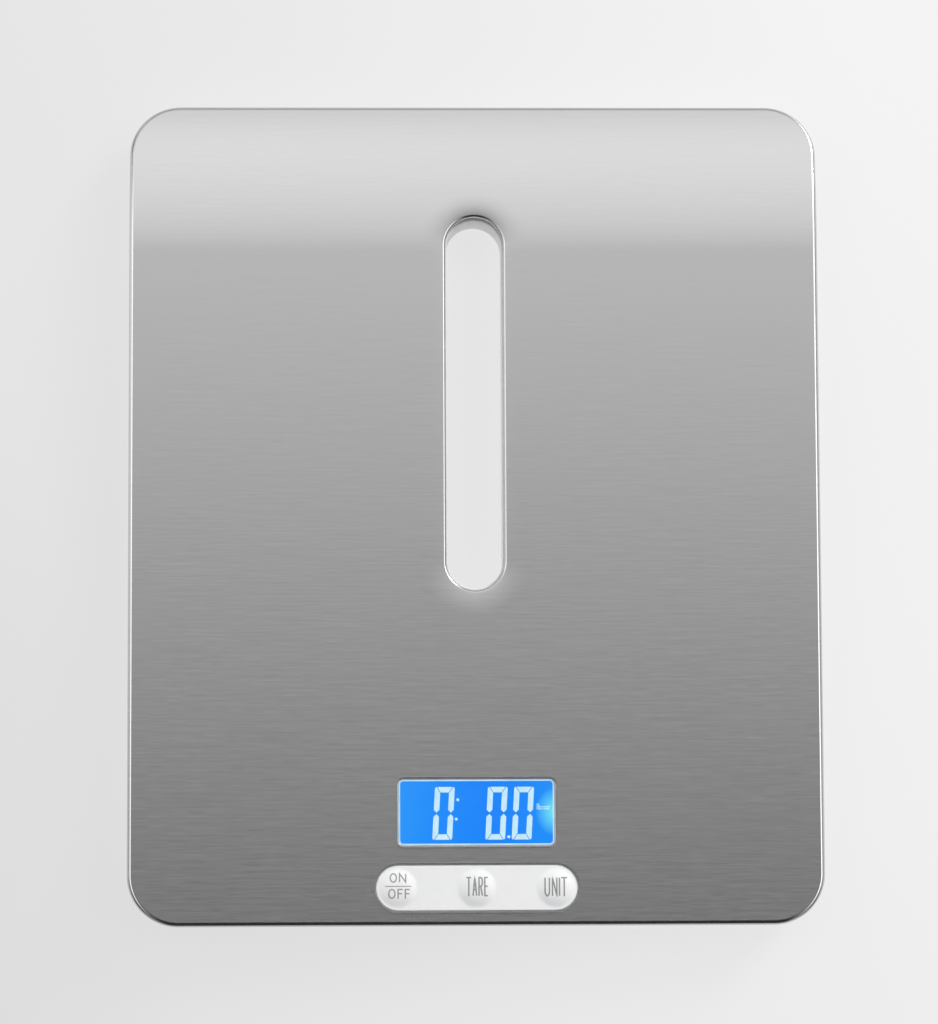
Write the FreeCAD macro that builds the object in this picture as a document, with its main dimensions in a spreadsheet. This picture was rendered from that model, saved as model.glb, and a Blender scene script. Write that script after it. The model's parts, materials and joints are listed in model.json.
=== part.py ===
import FreeCAD, Part
import math
import os

import Sketcher

# Electronic kitchen scale with a hanging slot: a brushed steel platform cover on a flat plastic body.
# Millimetres. X to the right, Y away from the user, Z up; the origin is on the table, under the middle
# of the scale. The display and the keys are at the near end (-Y), the cover falls away at the far end.

doc = FreeCAD.newDocument("KitchenScale")
sheet = doc.addObject("Spreadsheet::Sheet", "dims")


# --------------------------------------------------------------------------- sizes

class Size:
    """A length together with the spreadsheet expression that gives it."""

    def __init__(self, value, text):
        self.value = value
        self.text = text

    def __add__(self, other):
        other = as_size(other)
        return Size(self.value + other.value, f"({self.text} + {other.text})")

    def __sub__(self, other):
        other = as_size(other)
        return Size(self.value - other.value, f"({self.text} - {other.text})")

    def __mul__(self, factor):
        return Size(self.value * factor, f"({self.text} * {factor})")

    def __truediv__(self, factor):
        return Size(self.value / factor, f"({self.text} / {factor})")

    def __neg__(self):
        return Size(-self.value, f"(-1 * {self.text})")


def as_size(number):
    return number if isinstance(number, Size) else Size(float(number), repr(float(number)))


def leg(hypotenuse, other_leg):
    """The second short side of a right-angled triangle."""
    value = math.sqrt(hypotenuse.value ** 2 - other_leg.value ** 2)
    return Size(value, f"sqrt({hypotenuse.text} * {hypotenuse.text} - {other_leg.text} * {other_leg.text})")


rows = []


def size(name, value):
    """Write one driving dimension into the sheet and return it."""
    rows.append(name)
    row = len(rows)
    sheet.set(f"A{row}", name.replace("_", " "))
    sheet.set(f"B{row}", str(value))
    sheet.setAlias(f"B{row}", name)
    return Size(float(value), f"dims.{name}")


ZERO = as_size(0)

# whole scale
body_width = size("body_width", 190)
body_length = size("body_length", 226.6)
plate_top = size("plate_top", 19.0)
ground_gap = size("ground_gap", 2.6)
corner_radius = size("corner_radius", 14)

# steel cover
steel = size("steel", 0.5)
skirt_level = size("skirt_level", 11.0)
parting_level = size("parting_level", 9.0)
edge_roll = size("edge_roll", 1.3)
fall_radius = size("fall_radius", 170)
fall_length = size("fall_length", 41)
tape = size("tape", 0.3)

# hanging slot
slot_width = size("slot_width", 15.8)
slot_start = size("slot_start", 91.5)
slot_margin = size("slot_margin", 31.8)
slot_roll = size("slot_roll", 0.8)
dish_width = size("dish_width", 7.0)
dish_depth = size("dish_depth", 0.3)
slot_flange = size("slot_flange", 2.0)
liner_wall = size("liner_wall", 1.5)
liner_drop = size("liner_drop", 1.2)
liner_reveal = size("liner_reveal", 0.25)
liner_end_reveal = size("liner_end_reveal", 0.6)
liner_foot = size("liner_foot", 3.0)
liner_foot_height = size("liner_foot_height", 1.4)

# plastic housing
wall = size("wall", 1.8)
base_roll = size("base_roll", 3.0)
lip_gap = size("lip_gap", 0.15)
lip_wall = size("lip_wall", 1.2)
lip_height = size("lip_height", 1.5)
lip_root = size("lip_root", 2.0)
part_gap = size("part_gap", 0.15)
moving_gap = size("moving_gap", 0.3)

# housing screws
screw_radius = size("screw_radius", 1.25)
screw_head_radius = size("screw_head_radius", 2.4)
screw_head_height = size("screw_head_height", 1.8)
screw_recess = size("screw_recess", 0.8)
screw_reach = size("screw_reach", 13.4)
upper_boss_radius = size("upper_boss_radius", 3.0)
lower_boss_radius = size("lower_boss_radius", 3.6)
cross_width = size("cross_width", 0.7)
cross_depth = size("cross_depth", 0.9)
screw_from_side = size("screw_from_side", 8)
screw_from_near = size("screw_from_near", 9)
screw_from_far = size("screw_from_far", 13)
screw_past_near = size("screw_past_near", 83)
screw_past_far = size("screw_past_far", 68)
screw_inside_near_foot = size("screw_inside_near_foot", 22)
screw_inside_far_foot = size("screw_inside_far_foot", 32)

# display
display_width = size("display_width", 42.7)
display_height = size("display_height", 18.1)
display_start = size("display_start", 30.8)
display_corner = size("display_corner", 1.4)
window_ledge = size("window_ledge", 2.0)
window_border = size("window_border", 0.4)
window_sheet = size("window_sheet", 1.2)
window_recess = size("window_recess", 1.0)
lcd_width = size("lcd_width", 45)
lcd_height = size("lcd_height", 23)
lcd_thickness = size("lcd_thickness", 2.2)
backlight_thickness = size("backlight_thickness", 2.4)
strip_thickness = size("strip_thickness", 1.8)
frame_wall = size("frame_wall", 2.4)

# keys
pad_width = size("pad_width", 54.8)
pad_height = size("pad_height", 12.2)
pad_start = size("pad_start", 10.3)
pad_stand = size("pad_stand", 0.35)
pad_flange = size("pad_flange", 1.3)
key_pitch = size("key_pitch", 21.5)
key_radius = size("key_radius", 4.9)
key_crown = size("key_crown", 0.8)
key_stem_radius = size("key_stem_radius", 2.0)
key_travel = size("key_travel", 0.5)
switch_side = size("switch_side", 6.0)
switch_height = size("switch_height", 3.5)
plunger_radius = size("plunger_radius", 1.6)
plunger_length = size("plunger_length", 2.0)
plunger_stand = size("plunger_stand", 0.6)

# main board
board_width = size("board_width", 72)
board_length = size("board_length", 41.6)
board_start = size("board_start", 4.4)
board_thickness = size("board_thickness", 1.6)
board_screw_pitch = size("board_screw_pitch", 60)
board_screw_radius = size("board_screw_radius", 1.0)
post_radius = size("post_radius", 2.4)

# batteries
cell_radius = size("cell_radius", 5.2)
cell_length = size("cell_length", 43.5)
cell_nub = size("cell_nub", 1.0)
cell_nub_radius = size("cell_nub_radius", 1.9)
cell_pitch = size("cell_pitch", 11.4)
cell_play = size("cell_play", 0.5)
cell_lift = size("cell_lift", 0.4)
bay_start = size("bay_start", 67.7)
bay_wall = size("bay_wall", 1.5)
contact_sheet = size("contact_sheet", 0.3)
contact_side = size("contact_side", 8.6)
spring_wire = size("spring_wire", 0.6)
spring_radius = size("spring_radius", 3.4)
dimple_height = size("dimple_height", 1.2)
dimple_radius = size("dimple_radius", 2.4)
door_sheet = size("door_sheet", 1.6)
door_gap = size("door_gap", 0.25)
tab_width = size("tab_width", 7.0)
tab_reach = size("tab_reach", 1.6)
tab_sheet = size("tab_sheet", 1.0)
tab_clearance = size("tab_clearance", 0.53)
hook_reach = size("hook_reach", 0.5)

# feet and load cells
foot_from_side = size("foot_from_side", 23)
foot_from_near = size("foot_from_near", 27)
foot_from_far = size("foot_from_far", 35)
foot_radius = size("foot_radius", 10)
foot_disc = size("foot_disc", 1.3)
foot_play = size("foot_play", 0.5)
foot_stem_radius = size("foot_stem_radius", 6.4)
foot_tip_radius = size("foot_tip_radius", 3.5)
stud_radius = size("stud_radius", 1.5)
stud_height = size("stud_height", 0.8)
pad_radius = size("pad_radius", 8.5)
pad_thickness = size("pad_thickness", 1.6)
gauge_plate = size("gauge_plate", 26)
gauge_sheet = size("gauge_sheet", 1.4)
gauge_corner = size("gauge_corner", 3.0)
tongue_width = size("tongue_width", 11)
tongue_slit = size("tongue_slit", 1.5)
gauge_level = size("gauge_level", 7.0)
seat_side = size("seat_side", 32)
seat_opening = size("seat_opening", 20)
clamp_sheet = size("clamp_sheet", 1.2)
clamp_screw_place = size("clamp_screw_place", 14)
clamp_screw_radius = size("clamp_screw_radius", 1.1)
clamp_screw_head = size("clamp_screw_head", 2.0)
clamp_screw_length = size("clamp_screw_length", 3.0)
strain_film = size("strain_film", 0.1)
cable_radius = size("cable_radius", 0.8)
cable_bend = size("cable_bend", 6.0)
cable_lane = size("cable_lane", 22)
socket_width = size("socket_width", 5.0)
socket_height = size("socket_height", 4.0)

# lines across the scale, measured from its near and far edges
near_edge = -body_length / 2
far_edge = body_length / 2
slot_near = near_edge + slot_start
slot_far = far_edge - slot_margin
display_middle = near_edge + display_start
pad_middle = near_edge + pad_start
board_near = near_edge + board_start
board_far = board_near + board_length
bay_middle = near_edge + bay_start
foot_near = near_edge + foot_from_near
foot_far = far_edge - foot_from_far
foot_half = body_width / 2 - foot_from_side

# levels and lines that several pieces share
plate_under = plate_top - steel
deck_top = plate_under - tape
deck_under = deck_top - wall
floor_top = ground_gap + wall
deck_inset = steel + tape
inner_inset = deck_inset + wall
lip_inset = inner_inset + lip_gap
tray_inset = lip_inset + lip_wall
fall_start = far_edge - fall_length
recess_floor = deck_top - window_recess
lcd_top = deck_under - 0.1
board_top = lcd_top - lcd_thickness - backlight_thickness - 0.8
board_under = board_top - board_thickness
head_top = ground_gap + screw_recess + screw_head_height
bay_half_length = (contact_sheet * 2 + spring_wire * 5 + cell_length + cell_nub + dimple_height) / 2
bay_near = bay_middle - cell_pitch / 2 - cell_radius - cell_play
bay_far = bay_middle + cell_pitch / 2 + cell_radius + cell_play
cell_level = ground_gap + door_sheet + cell_lift + cell_radius
gauge_top = gauge_level + gauge_sheet
foot_top = ground_gap - foot_play
pad_top = plate_top + pad_stand
key_foot_level = board_top + switch_height + plunger_stand
socket_low = board_under - socket_height
liner_inner = slot_width / 2 - liner_reveal
liner_outer = liner_inner + liner_wall
liner_near = slot_near + liner_end_reveal
liner_far = slot_far - liner_end_reveal
liner_top = plate_top - slot_flange - liner_drop

screw_places = [
    (foot_half - screw_inside_near_foot, near_edge + screw_from_near),
    (body_width / 2 - screw_from_side, near_edge + screw_past_near),
    (body_width / 2 - screw_from_side, far_edge - screw_past_far),
    (foot_half - screw_inside_far_foot, far_edge - screw_from_far),
]
FEET = {
    "front_left": (-1, foot_near),
    "front_right": (1, foot_near),
    "rear_left": (-1, foot_far),
    "rear_right": (1, foot_far),
}
KEYS = {"on_off": -1, "tare": 0, "unit": 1}


# --------------------------------------------------------------------------- building helpers

def bind(item, name, amount):
    item.setExpression(name, as_size(amount).text)


def place(item, x=ZERO, y=ZERO, z=ZERO):
    for axis, amount in (("x", x), ("y", y), ("z", z)):
        bind(item, f"Placement.Base.{axis}", amount)
    return item


def new_body(name):
    body = doc.addObject("PartDesign::Body", name)
    body.Label = name
    return body


def new_sketch(body, name, plane, level=ZERO):
    sketch = body.newObject("Sketcher::SketchObject", f"{body.Name}_{name}")
    support = [f for f in body.Origin.OriginFeatures if f.Role == plane][0]
    sketch.AttachmentSupport = (support, [""])
    sketch.MapMode = "FlatFace"
    bind(sketch, "AttachmentOffset.Base.z", level)
    return sketch


def constrain(sketch, kind, *where, amount=None):
    if amount is None:
        sketch.addConstraint(Sketcher.Constraint(kind, *where))
        return
    index = sketch.addConstraint(Sketcher.Constraint(kind, *where, amount.value))
    sketch.setExpression(f"Constraints[{index}]", amount.text)


def arc_between(start, end, radius, turn):
    """Arc from start to end whose centre lies to the left (turn 1) or to the right (turn -1)."""
    chord = end - start
    left = FreeCAD.Vector(-chord.y, chord.x, 0).normalize()
    rise = math.sqrt(max(radius ** 2 - (chord.Length / 2) ** 2, 0))
    centre = start + chord / 2 + left * (turn * rise)
    first, last = (start, end) if turn > 0 else (end, start)
    angles = [math.atan2(p.y - centre.y, p.x - centre.x) for p in (first, last)]
    if angles[1] < angles[0]:
        angles[1] += 2 * math.pi
    return Part.ArcOfCircle(Part.Circle(centre, FreeCAD.Vector(0, 0, 1), radius), *angles)


def outline(sketch, points, arcs=None):
    """Closed, fully constrained outline. arcs maps a side's number to (radius, turn)."""
    arcs = arcs or {}
    base = len(sketch.Geometry)
    count = len(points)
    spots = [FreeCAD.Vector(as_size(x).value, as_size(y).value, 0) for x, y in points]
    ends = []
    for i in range(count):
        start, end = spots[i], spots[(i + 1) % count]
        if i in arcs:
            radius, turn = arcs[i]
            sketch.addGeometry(arc_between(start, end, radius.value, turn), False)
            ends.append((1, 2) if turn > 0 else (2, 1))
        else:
            sketch.addGeometry(Part.LineSegment(start, end), False)
            ends.append((1, 2))
    for i in range(count):
        after = (i + 1) % count
        constrain(sketch, "Coincident", base + i, ends[i][1], base + after, ends[after][0])
    for i, (x, y) in enumerate(points):
        constrain(sketch, "DistanceX", -1, 1, base + i, ends[i][0], amount=as_size(x))
        constrain(sketch, "DistanceY", -1, 1, base + i, ends[i][0], amount=as_size(y))
    for i, (radius, turn) in arcs.items():
        constrain(sketch, "Radius", base + i, amount=radius)
    return sketch


def circles(sketch, places, radius):
    for x, y in places:
        x, y = as_size(x), as_size(y)
        centre = FreeCAD.Vector(x.value, y.value, 0)
        index = sketch.addGeometry(Part.Circle(centre, FreeCAD.Vector(0, 0, 1), radius.value), False)
        constrain(sketch, "Radius", index, amount=radius)
        constrain(sketch, "DistanceX", -1, 1, index, 3, amount=x)
        constrain(sketch, "DistanceY", -1, 1, index, 3, amount=y)
    return sketch


def rounded_rectangle(sketch, x, y, radius):
    (x0, x1), (y0, y1) = x, y
    points = [
        (x0 + radius, y0), (x1 - radius, y0), (x1, y0 + radius), (x1, y1 - radius),
        (x1 - radius, y1), (x0 + radius, y1), (x0, y1 - radius), (x0, y0 + radius),
    ]
    return outline(sketch, points, {side: (radius, 1) for side in (1, 3, 5, 7)})


def upright_stadium(sketch, radius, y):
    """Slot outline along Y on the middle line."""
    y0, y1 = y
    points = [
        (radius, y0 + radius), (radius, y1 - radius), (ZERO, y1),
        (-radius, y1 - radius), (-radius, y0 + radius), (ZERO, y0),
    ]
    return outline(sketch, points, {side: (radius, 1) for side in (1, 2, 4, 5)})


def level_stadium(sketch, radius, half_width, y):
    """Stadium along X on the middle line, centred on y."""
    inner = half_width - radius
    points = [
        (-inner, y - radius), (inner, y - radius), (half_width, y),
        (inner, y + radius), (-inner, y + radius), (-half_width, y),
    ]
    return outline(sketch, points, {side: (radius, 1) for side in (1, 2, 4, 5)})


def pad(body, sketch, length, middle=False):
    feature = body.newObject("PartDesign::Pad", f"{sketch.Name}_pad")
    feature.Profile = sketch
    feature.Midplane = middle
    bind(feature, "Length", length)
    doc.recompute()
    return feature


def pocket(body, sketch, depth, taper=None):
    """Cut downwards from the sketch."""
    before = body.Shape.Volume
    feature = body.newObject("PartDesign::Pocket", f"{sketch.Name}_pocket")
    feature.Profile = sketch
    bind(feature, "Length", depth)
    if taper is not None:
        feature.setExpression("TaperAngle", taper)
    doc.recompute()
    if body.Shape.Volume > before - 1e-3:
        raise ValueError(f"{feature.Name} cuts nothing")
    return feature


def revolve(body, points, arcs=None):
    """Turn a profile of (radius, height) points round the body's own upright axis."""
    sketch = outline(new_sketch(body, "profile", "XZ_Plane"), points, arcs)
    feature = body.newObject("PartDesign::Revolution", f"{body.Name}_turned")
    feature.Profile = sketch
    feature.ReferenceAxis = (sketch, ["V_Axis"])
    feature.Angle = 360
    doc.recompute()
    return feature


def fillet(body, base, radius, test):
    names = [f"Edge{i}" for i, edge in enumerate(base.Shape.Edges, 1) if test(edge)]
    feature = body.newObject("PartDesign::Fillet", f"{base.Name}_rounded")
    feature.Base = (base, names)
    bind(feature, "Radius", radius)
    doc.recompute()
    return feature


def slab(name, shape_sketch, low, high, *args):
    """Body of one upright pad of the given outline, from level low to level high."""
    body = new_body(name)
    pad(body, shape_sketch(new_sketch(body, "outline", "XY_Plane", low), *args), high - low)
    return body


def box(name, x, y, z):
    item = doc.addObject("Part::Box", name)
    item.Label = name
    for length, axis, (low, high) in (("Length", "x", x), ("Width", "y", y), ("Height", "z", z)):
        low, high = as_size(low), as_size(high)
        bind(item, length, high - low)
        bind(item, f"Placement.Base.{axis}", low)
    return item


def cylinder(name, x, y, z, radius):
    item = doc.addObject("Part::Cylinder", name)
    item.Label = name
    low, high = as_size(z[0]), as_size(z[1])
    bind(item, "Radius", radius)
    bind(item, "Height", high - low)
    return place(item, x, y, low)


def cylinder_along_x(name, x, y, z, radius):
    item = doc.addObject("Part::Cylinder", name)
    item.Label = name
    item.Placement = FreeCAD.Placement(FreeCAD.Vector(), FreeCAD.Rotation(FreeCAD.Vector(0, 1, 0), 90))
    low, high = as_size(x[0]), as_size(x[1])
    bind(item, "Radius", radius)
    bind(item, "Height", high - low)
    return place(item, low, y, z)


def join(name, items):
    item = doc.addObject("Part::MultiFuse", name)
    item.Label = name
    item.Shapes = items
    return item


def group(name, items):
    item = doc.addObject("Part::Compound", name)
    item.Label = name
    item.Links = items
    return item


def cut(name, base, tools):
    tool = tools[0] if len(tools) == 1 else join(f"{name}_tools", tools)
    item = doc.addObject("Part::Cut", name)
    item.Label = name
    item.Base = base
    item.Tool = tool
    doc.recompute()
    if item.Shape.Volume > base.Shape.Volume - 1e-3:
        raise ValueError(f"{name}: the tools cut nothing")
    return item


def overlap(name, first, second):
    item = doc.addObject("Part::Common", name)
    item.Label = name
    item.Base = first
    item.Tool = second
    return item


nodes = {}


def sub_part(item, name=None):
    """Register a finished piece under its label."""
    if name:
        item.Label = name
    nodes[item.Label] = item
    return item


def either_side(amount):
    return (-as_size(amount), as_size(amount))


# --------------------------------------------------------------------------- the outer form

def is_corner_edge(edge):
    tangent = edge.tangentAt(edge.FirstParameter)
    return abs(tangent.z) > 0.99 and edge.BoundBox.ZLength > 0.5


def is_top_rim(shape):
    """Test for the edges between the top face and the outer walls."""
    walls_of = {}
    for face in shape.Faces:
        u0, u1, v0, v1 = face.ParameterRange
        upward = face.normalAt((u0 + u1) / 2, (v0 + v1) / 2).z
        for edge in face.Edges:
            walls_of.setdefault(edge.hashCode(), []).append(upward)

    def test(edge):
        tilts = walls_of.get(edge.hashCode(), [])
        return len(tilts) == 2 and max(tilts) > 0.8 and abs(min(tilts)) < 0.3

    return test


def form(name, inset, low, slot_bottom=None, roll=None):
    """The scale's outer form, drawn in by inset: flat top, far end falling away, round corners.

    With slot_bottom the dished hanging slot is cut from the top down to that level.
    """
    body = new_body(name)
    near, far = near_edge + inset, far_edge - inset
    top = plate_top - inset
    radius = fall_radius - inset
    far_top = plate_top - fall_radius + leg(radius, fall_length - inset)
    profile = outline(
        new_sketch(body, "side", "YZ_Plane"),
        [(near, low), (far, low), (far, far_top), (fall_start, top), (near, top)],
        {2: (radius, 1)},
    )
    block = pad(body, profile, body_width - inset * 2, middle=True)
    block = fillet(body, block, corner_radius - inset, is_corner_edge)
    if roll is not None:
        block = fillet(body, block, roll, is_top_rim(block.Shape))
    if slot_bottom is not None:
        cut_slot(body, inset, slot_bottom)
    return body


def cut_slot(body, inset, bottom):
    """Dish around the slot, the slot itself and its rolled edge."""
    half = slot_width / 2 + inset
    near, far = slot_near - inset, slot_far + inset
    dish = upright_stadium(
        new_sketch(body, "dish", "XY_Plane", plate_top - inset),
        half + dish_width, (near - dish_width, far + dish_width),
    )
    pocket(body, dish, dish_depth, taper=f"-1 * atan({dish_width.text} / {dish_depth.text})")
    sketch = upright_stadium(new_sketch(body, "slot", "XY_Plane", plate_top), half, (near, far))
    feature = pocket(body, sketch, plate_top - bottom)
    test = is_top_rim(feature.Shape)
    reach = half.value + 0.1
    fillet(body, feature, slot_roll - inset, lambda edge: test(edge) and abs(edge.CenterOfMass.x) < reach)


# --------------------------------------------------------------------------- cover and housings

def make_top_cover():
    """Deep-drawn steel sheet: rolled outer edge, turned-down skirt, short flange in the slot."""
    outside = form("cover_outside", ZERO, skirt_level, skirt_level, edge_roll)
    inside = form("cover_inside", steel, skirt_level - 1, plate_top - slot_flange, edge_roll - steel)
    display_hole = slab(
        "cover_display_hole", rounded_rectangle, plate_top - 2, plate_top + 1,
        either_side(display_width / 2),
        (display_middle - display_height / 2, display_middle + display_height / 2), display_corner,
    )
    pad_hole = slab(
        "cover_pad_hole", level_stadium, plate_top - 2, plate_top + 1,
        pad_height / 2 + part_gap, pad_width / 2 + part_gap, pad_middle,
    )
    sub_part(cut("top_cover", outside, [inside, display_hole, pad_hole]))


def make_cover_tape():
    """Bonding strips between the cover and the deck, on the flat part of the deck."""
    inner = slot_width / 2 + dish_width + 4
    strips = [
        box(f"tape_strip_{i}", x, y, (deck_top, plate_under))
        for i, (x, y) in enumerate((
            ((-body_width / 2 + 6, -body_width / 2 + 18), (foot_near - 8, fall_start - 4)),
            ((body_width / 2 - 18, body_width / 2 - 6), (foot_near - 8, fall_start - 4)),
            ((-inner - 12, -inner), (slot_near, fall_start - 4)),
            ((inner, inner + 12), (slot_near, fall_start - 4)),
        ), 1)
    ]
    sub_part(group("cover_tape", strips))


def screw_columns(name, z, radius):
    return [
        cylinder(f"{name}_{i}_{side}", x if side == "right" else -x, y, z, radius)
        for i, (x, y) in enumerate(screw_places, 1)
        for side in ("left", "right")
    ]


def make_upper_housing():
    """White plastic deck with side walls, openings for window, keys and slot, and screw bosses."""
    outside = form("deck_outside", deck_inset, parting_level, None, edge_roll - steel)
    inside = form("deck_inside", inner_inset, parting_level - 1)
    shell = cut("deck_shell", outside, [inside])
    bosses = screw_columns("upper_boss", (parting_level, deck_top), upper_boss_radius)
    solid = overlap("deck_with_bosses", join("deck_and_bosses", [shell] + bosses), outside)
    slot = slab(
        "deck_slot", upright_stadium, deck_under - 4, deck_top + 1,
        slot_width / 2 + dish_width + 1, (slot_near - dish_width - 1, slot_far + dish_width + 1),
    )
    window_seat = slab(
        "window_seat", rounded_rectangle, recess_floor, deck_top + 1,
        either_side(display_width / 2 + window_ledge + part_gap),
        (display_middle - display_height / 2 - window_ledge - part_gap,
         display_middle + display_height / 2 + window_ledge + part_gap), display_corner,
    )
    light_hole = slab(
        "light_hole", rounded_rectangle, deck_under - 1, recess_floor + 0.5,
        either_side(display_width / 2 - window_border),
        (display_middle - display_height / 2 + window_border,
         display_middle + display_height / 2 - window_border), display_corner,
    )
    pad_seat = slab(
        "pad_seat", level_stadium, recess_floor, deck_top + 1,
        pad_height / 2 + pad_flange + part_gap, pad_width / 2 + pad_flange + part_gap, pad_middle,
    )
    key_holes = [
        cylinder(f"deck_key_hole_{name}", key_pitch * side, pad_middle,
                 (deck_under - 1, recess_floor + 0.5), key_radius + moving_gap)
        for name, side in KEYS.items()
    ]
    pilots = screw_columns("pilot_hole", (parting_level - 1, screw_reach + 0.1), screw_radius)
    tools = [slot, window_seat, light_hole, pad_seat] + key_holes + pilots
    sub_part(cut("upper_housing", solid, tools))


def rim_block(name, inset, low, high):
    return slab(
        name, rounded_rectangle, low, high, either_side(body_width / 2 - inset),
        (near_edge + inset, far_edge - inset), corner_radius - inset,
    )


def seat_places():
    return [(foot_half * side, y) for side, y in FEET.values()]


def square(x, y, half):
    return (x - half, x + half), (y - half, y + half)


def make_lower_housing():
    """White plastic tray with battery bay, load cell seats, board posts and screw columns."""
    outside = rim_block("tray_outside", deck_inset, ground_gap, parting_level)
    lowest = ground_gap.value + 0.01
    rounded = fillet(outside, outside.Tip, base_roll, lambda edge: edge.BoundBox.ZMax < lowest)
    outside.Tip = rounded
    lip = rim_block("lip_outside", lip_inset, parting_level - lip_root, parting_level + lip_height)
    hollow = rim_block("tray_hollow", inner_inset, floor_top, parting_level - lip_root)
    upper_hollow = rim_block("lip_hollow", tray_inset, floor_top, parting_level + lip_height + 1)
    shell = cut("tray_shell", join("tray_and_lip", [outside, lip]), [hollow, upper_hollow])

    bay_x = either_side(bay_half_length + bay_wall)
    bay_block = box("bay_block", bay_x, (bay_near - bay_wall, bay_far + bay_wall),
                    (floor_top, deck_under - 0.6))
    seats = [
        box(f"seat_block_{i}", *square(x, y, seat_side / 2), (floor_top, gauge_top))
        for i, (x, y) in enumerate(seat_places(), 1)
    ]
    posts = board_columns("board_post", (floor_top, board_under), post_radius)
    columns = screw_columns("lower_boss", (floor_top, parting_level), lower_boss_radius)
    solid = join("tray_with_ribs", [shell, bay_block] + seats + posts + columns)

    slot = slab(
        "tray_slot", upright_stadium, ground_gap - 1, floor_top + 1,
        liner_outer + part_gap, (liner_near - liner_wall - part_gap, liner_far + liner_wall + part_gap),
    )
    bay = box("bay_opening", either_side(bay_half_length), (bay_near, bay_far),
              (ground_gap - 1, deck_under))
    tab_windows = [
        box(f"tab_window_{i}", (x - tab_width / 2 - 0.3, x + tab_width / 2 + 0.3),
            (bay_far - 0.5, bay_far + bay_wall + 0.5), (floor_top, floor_top + 4))
        for i, x in enumerate((-bay_half_length / 2, bay_half_length / 2), 1)
    ]
    hook_window = box("hook_window", either_side(tab_width / 2 + 0.3),
                      (bay_near - bay_wall - 0.5, bay_near + 0.5), (floor_top, floor_top + 2.5))
    recesses, openings, holes, screws = [], [], [], []
    for i, (x, y) in enumerate(seat_places(), 1):
        half = gauge_plate / 2 + part_gap
        recesses.append(slab(f"seat_recess_{i}", rounded_rectangle, gauge_level, gauge_top + 1,
                             *square(x, y, half), gauge_corner))
        openings.append(box(f"seat_opening_{i}", *square(x, y, seat_opening / 2),
                            (floor_top, gauge_level + 0.5)))
        holes.append(cylinder(f"foot_hole_{i}", x, y, (ground_gap - 1, floor_top + 0.5),
                              foot_stem_radius + 0.6))
        screws += clamp_screw_columns(f"seat_pilot_{i}", x, y, (gauge_top - clamp_screw_length, gauge_top + 1),
                                      clamp_screw_radius)
    counterbores = screw_columns("counterbore", (ground_gap - 1, head_top), screw_head_radius + 0.2)
    clearances = screw_columns("clearance", (head_top - 0.5, parting_level + 1), screw_radius + 0.2)
    pilots = board_columns("board_pilot", (floor_top + 1, board_under + 1), board_screw_radius)
    tools = [slot, bay, hook_window] + tab_windows + recesses + openings + holes + screws
    sub_part(cut("lower_housing", solid, tools + counterbores + clearances + pilots))


def make_slot_liner():
    """White tube that lines the slot, standing on the tray's floor with an outward foot."""
    body = new_body("slot_liner")
    foot_outline = upright_stadium(
        new_sketch(body, "foot", "XY_Plane", floor_top), liner_outer + liner_foot,
        (liner_near - liner_wall - liner_foot, liner_far + liner_wall + liner_foot),
    )
    pad(body, foot_outline, liner_foot_height)
    tube = upright_stadium(
        new_sketch(body, "tube", "XY_Plane", ground_gap), liner_outer,
        (liner_near - liner_wall, liner_far + liner_wall),
    )
    pad(body, tube, liner_top - ground_gap)
    bore = upright_stadium(
        new_sketch(body, "bore", "XY_Plane", liner_top + 1), liner_inner, (liner_near, liner_far)
    )
    pocket(body, bore, liner_top - ground_gap + 2)
    sub_part(body)


def cross_recess(name, x, y, low):
    """Cross-shaped driver recess, open downwards."""
    long_half, short_half = screw_head_radius * 0.7, cross_width / 2
    span = (low - 0.5, low + cross_depth)
    return [
        box(f"{name}_a", (x - long_half, x + long_half), (y - short_half, y + short_half), span),
        box(f"{name}_b", (x - short_half, x + short_half), (y - long_half, y + long_half), span),
    ]


def make_housing_screws():
    """Screws driven up from below, heads sunk in the counterbores."""
    head_low = ground_gap + screw_recess
    screws = []
    for i, (x, y) in enumerate(screw_places, 1):
        for side, place_x in (("left", -x), ("right", x)):
            name = f"housing_screw_{i}_{side}"
            head = cylinder(f"{name}_head", place_x, y, (head_low, head_top), screw_head_radius)
            shank = cylinder(f"{name}_shank", place_x, y, (head_top - 0.2, screw_reach), screw_radius)
            blank = join(f"{name}_blank", [head, shank])
            screws.append(cut(name, blank, cross_recess(f"{name}_cross", place_x, y, head_low)))
    sub_part(group("housing_screws", screws))


# --------------------------------------------------------------------------- display

def display_block(name, grow, low, high):
    return slab(
        name, rounded_rectangle, low, high, either_side(display_width / 2 + grow),
        (display_middle - display_height / 2 - grow, display_middle + display_height / 2 + grow),
        display_corner,
    )


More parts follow.
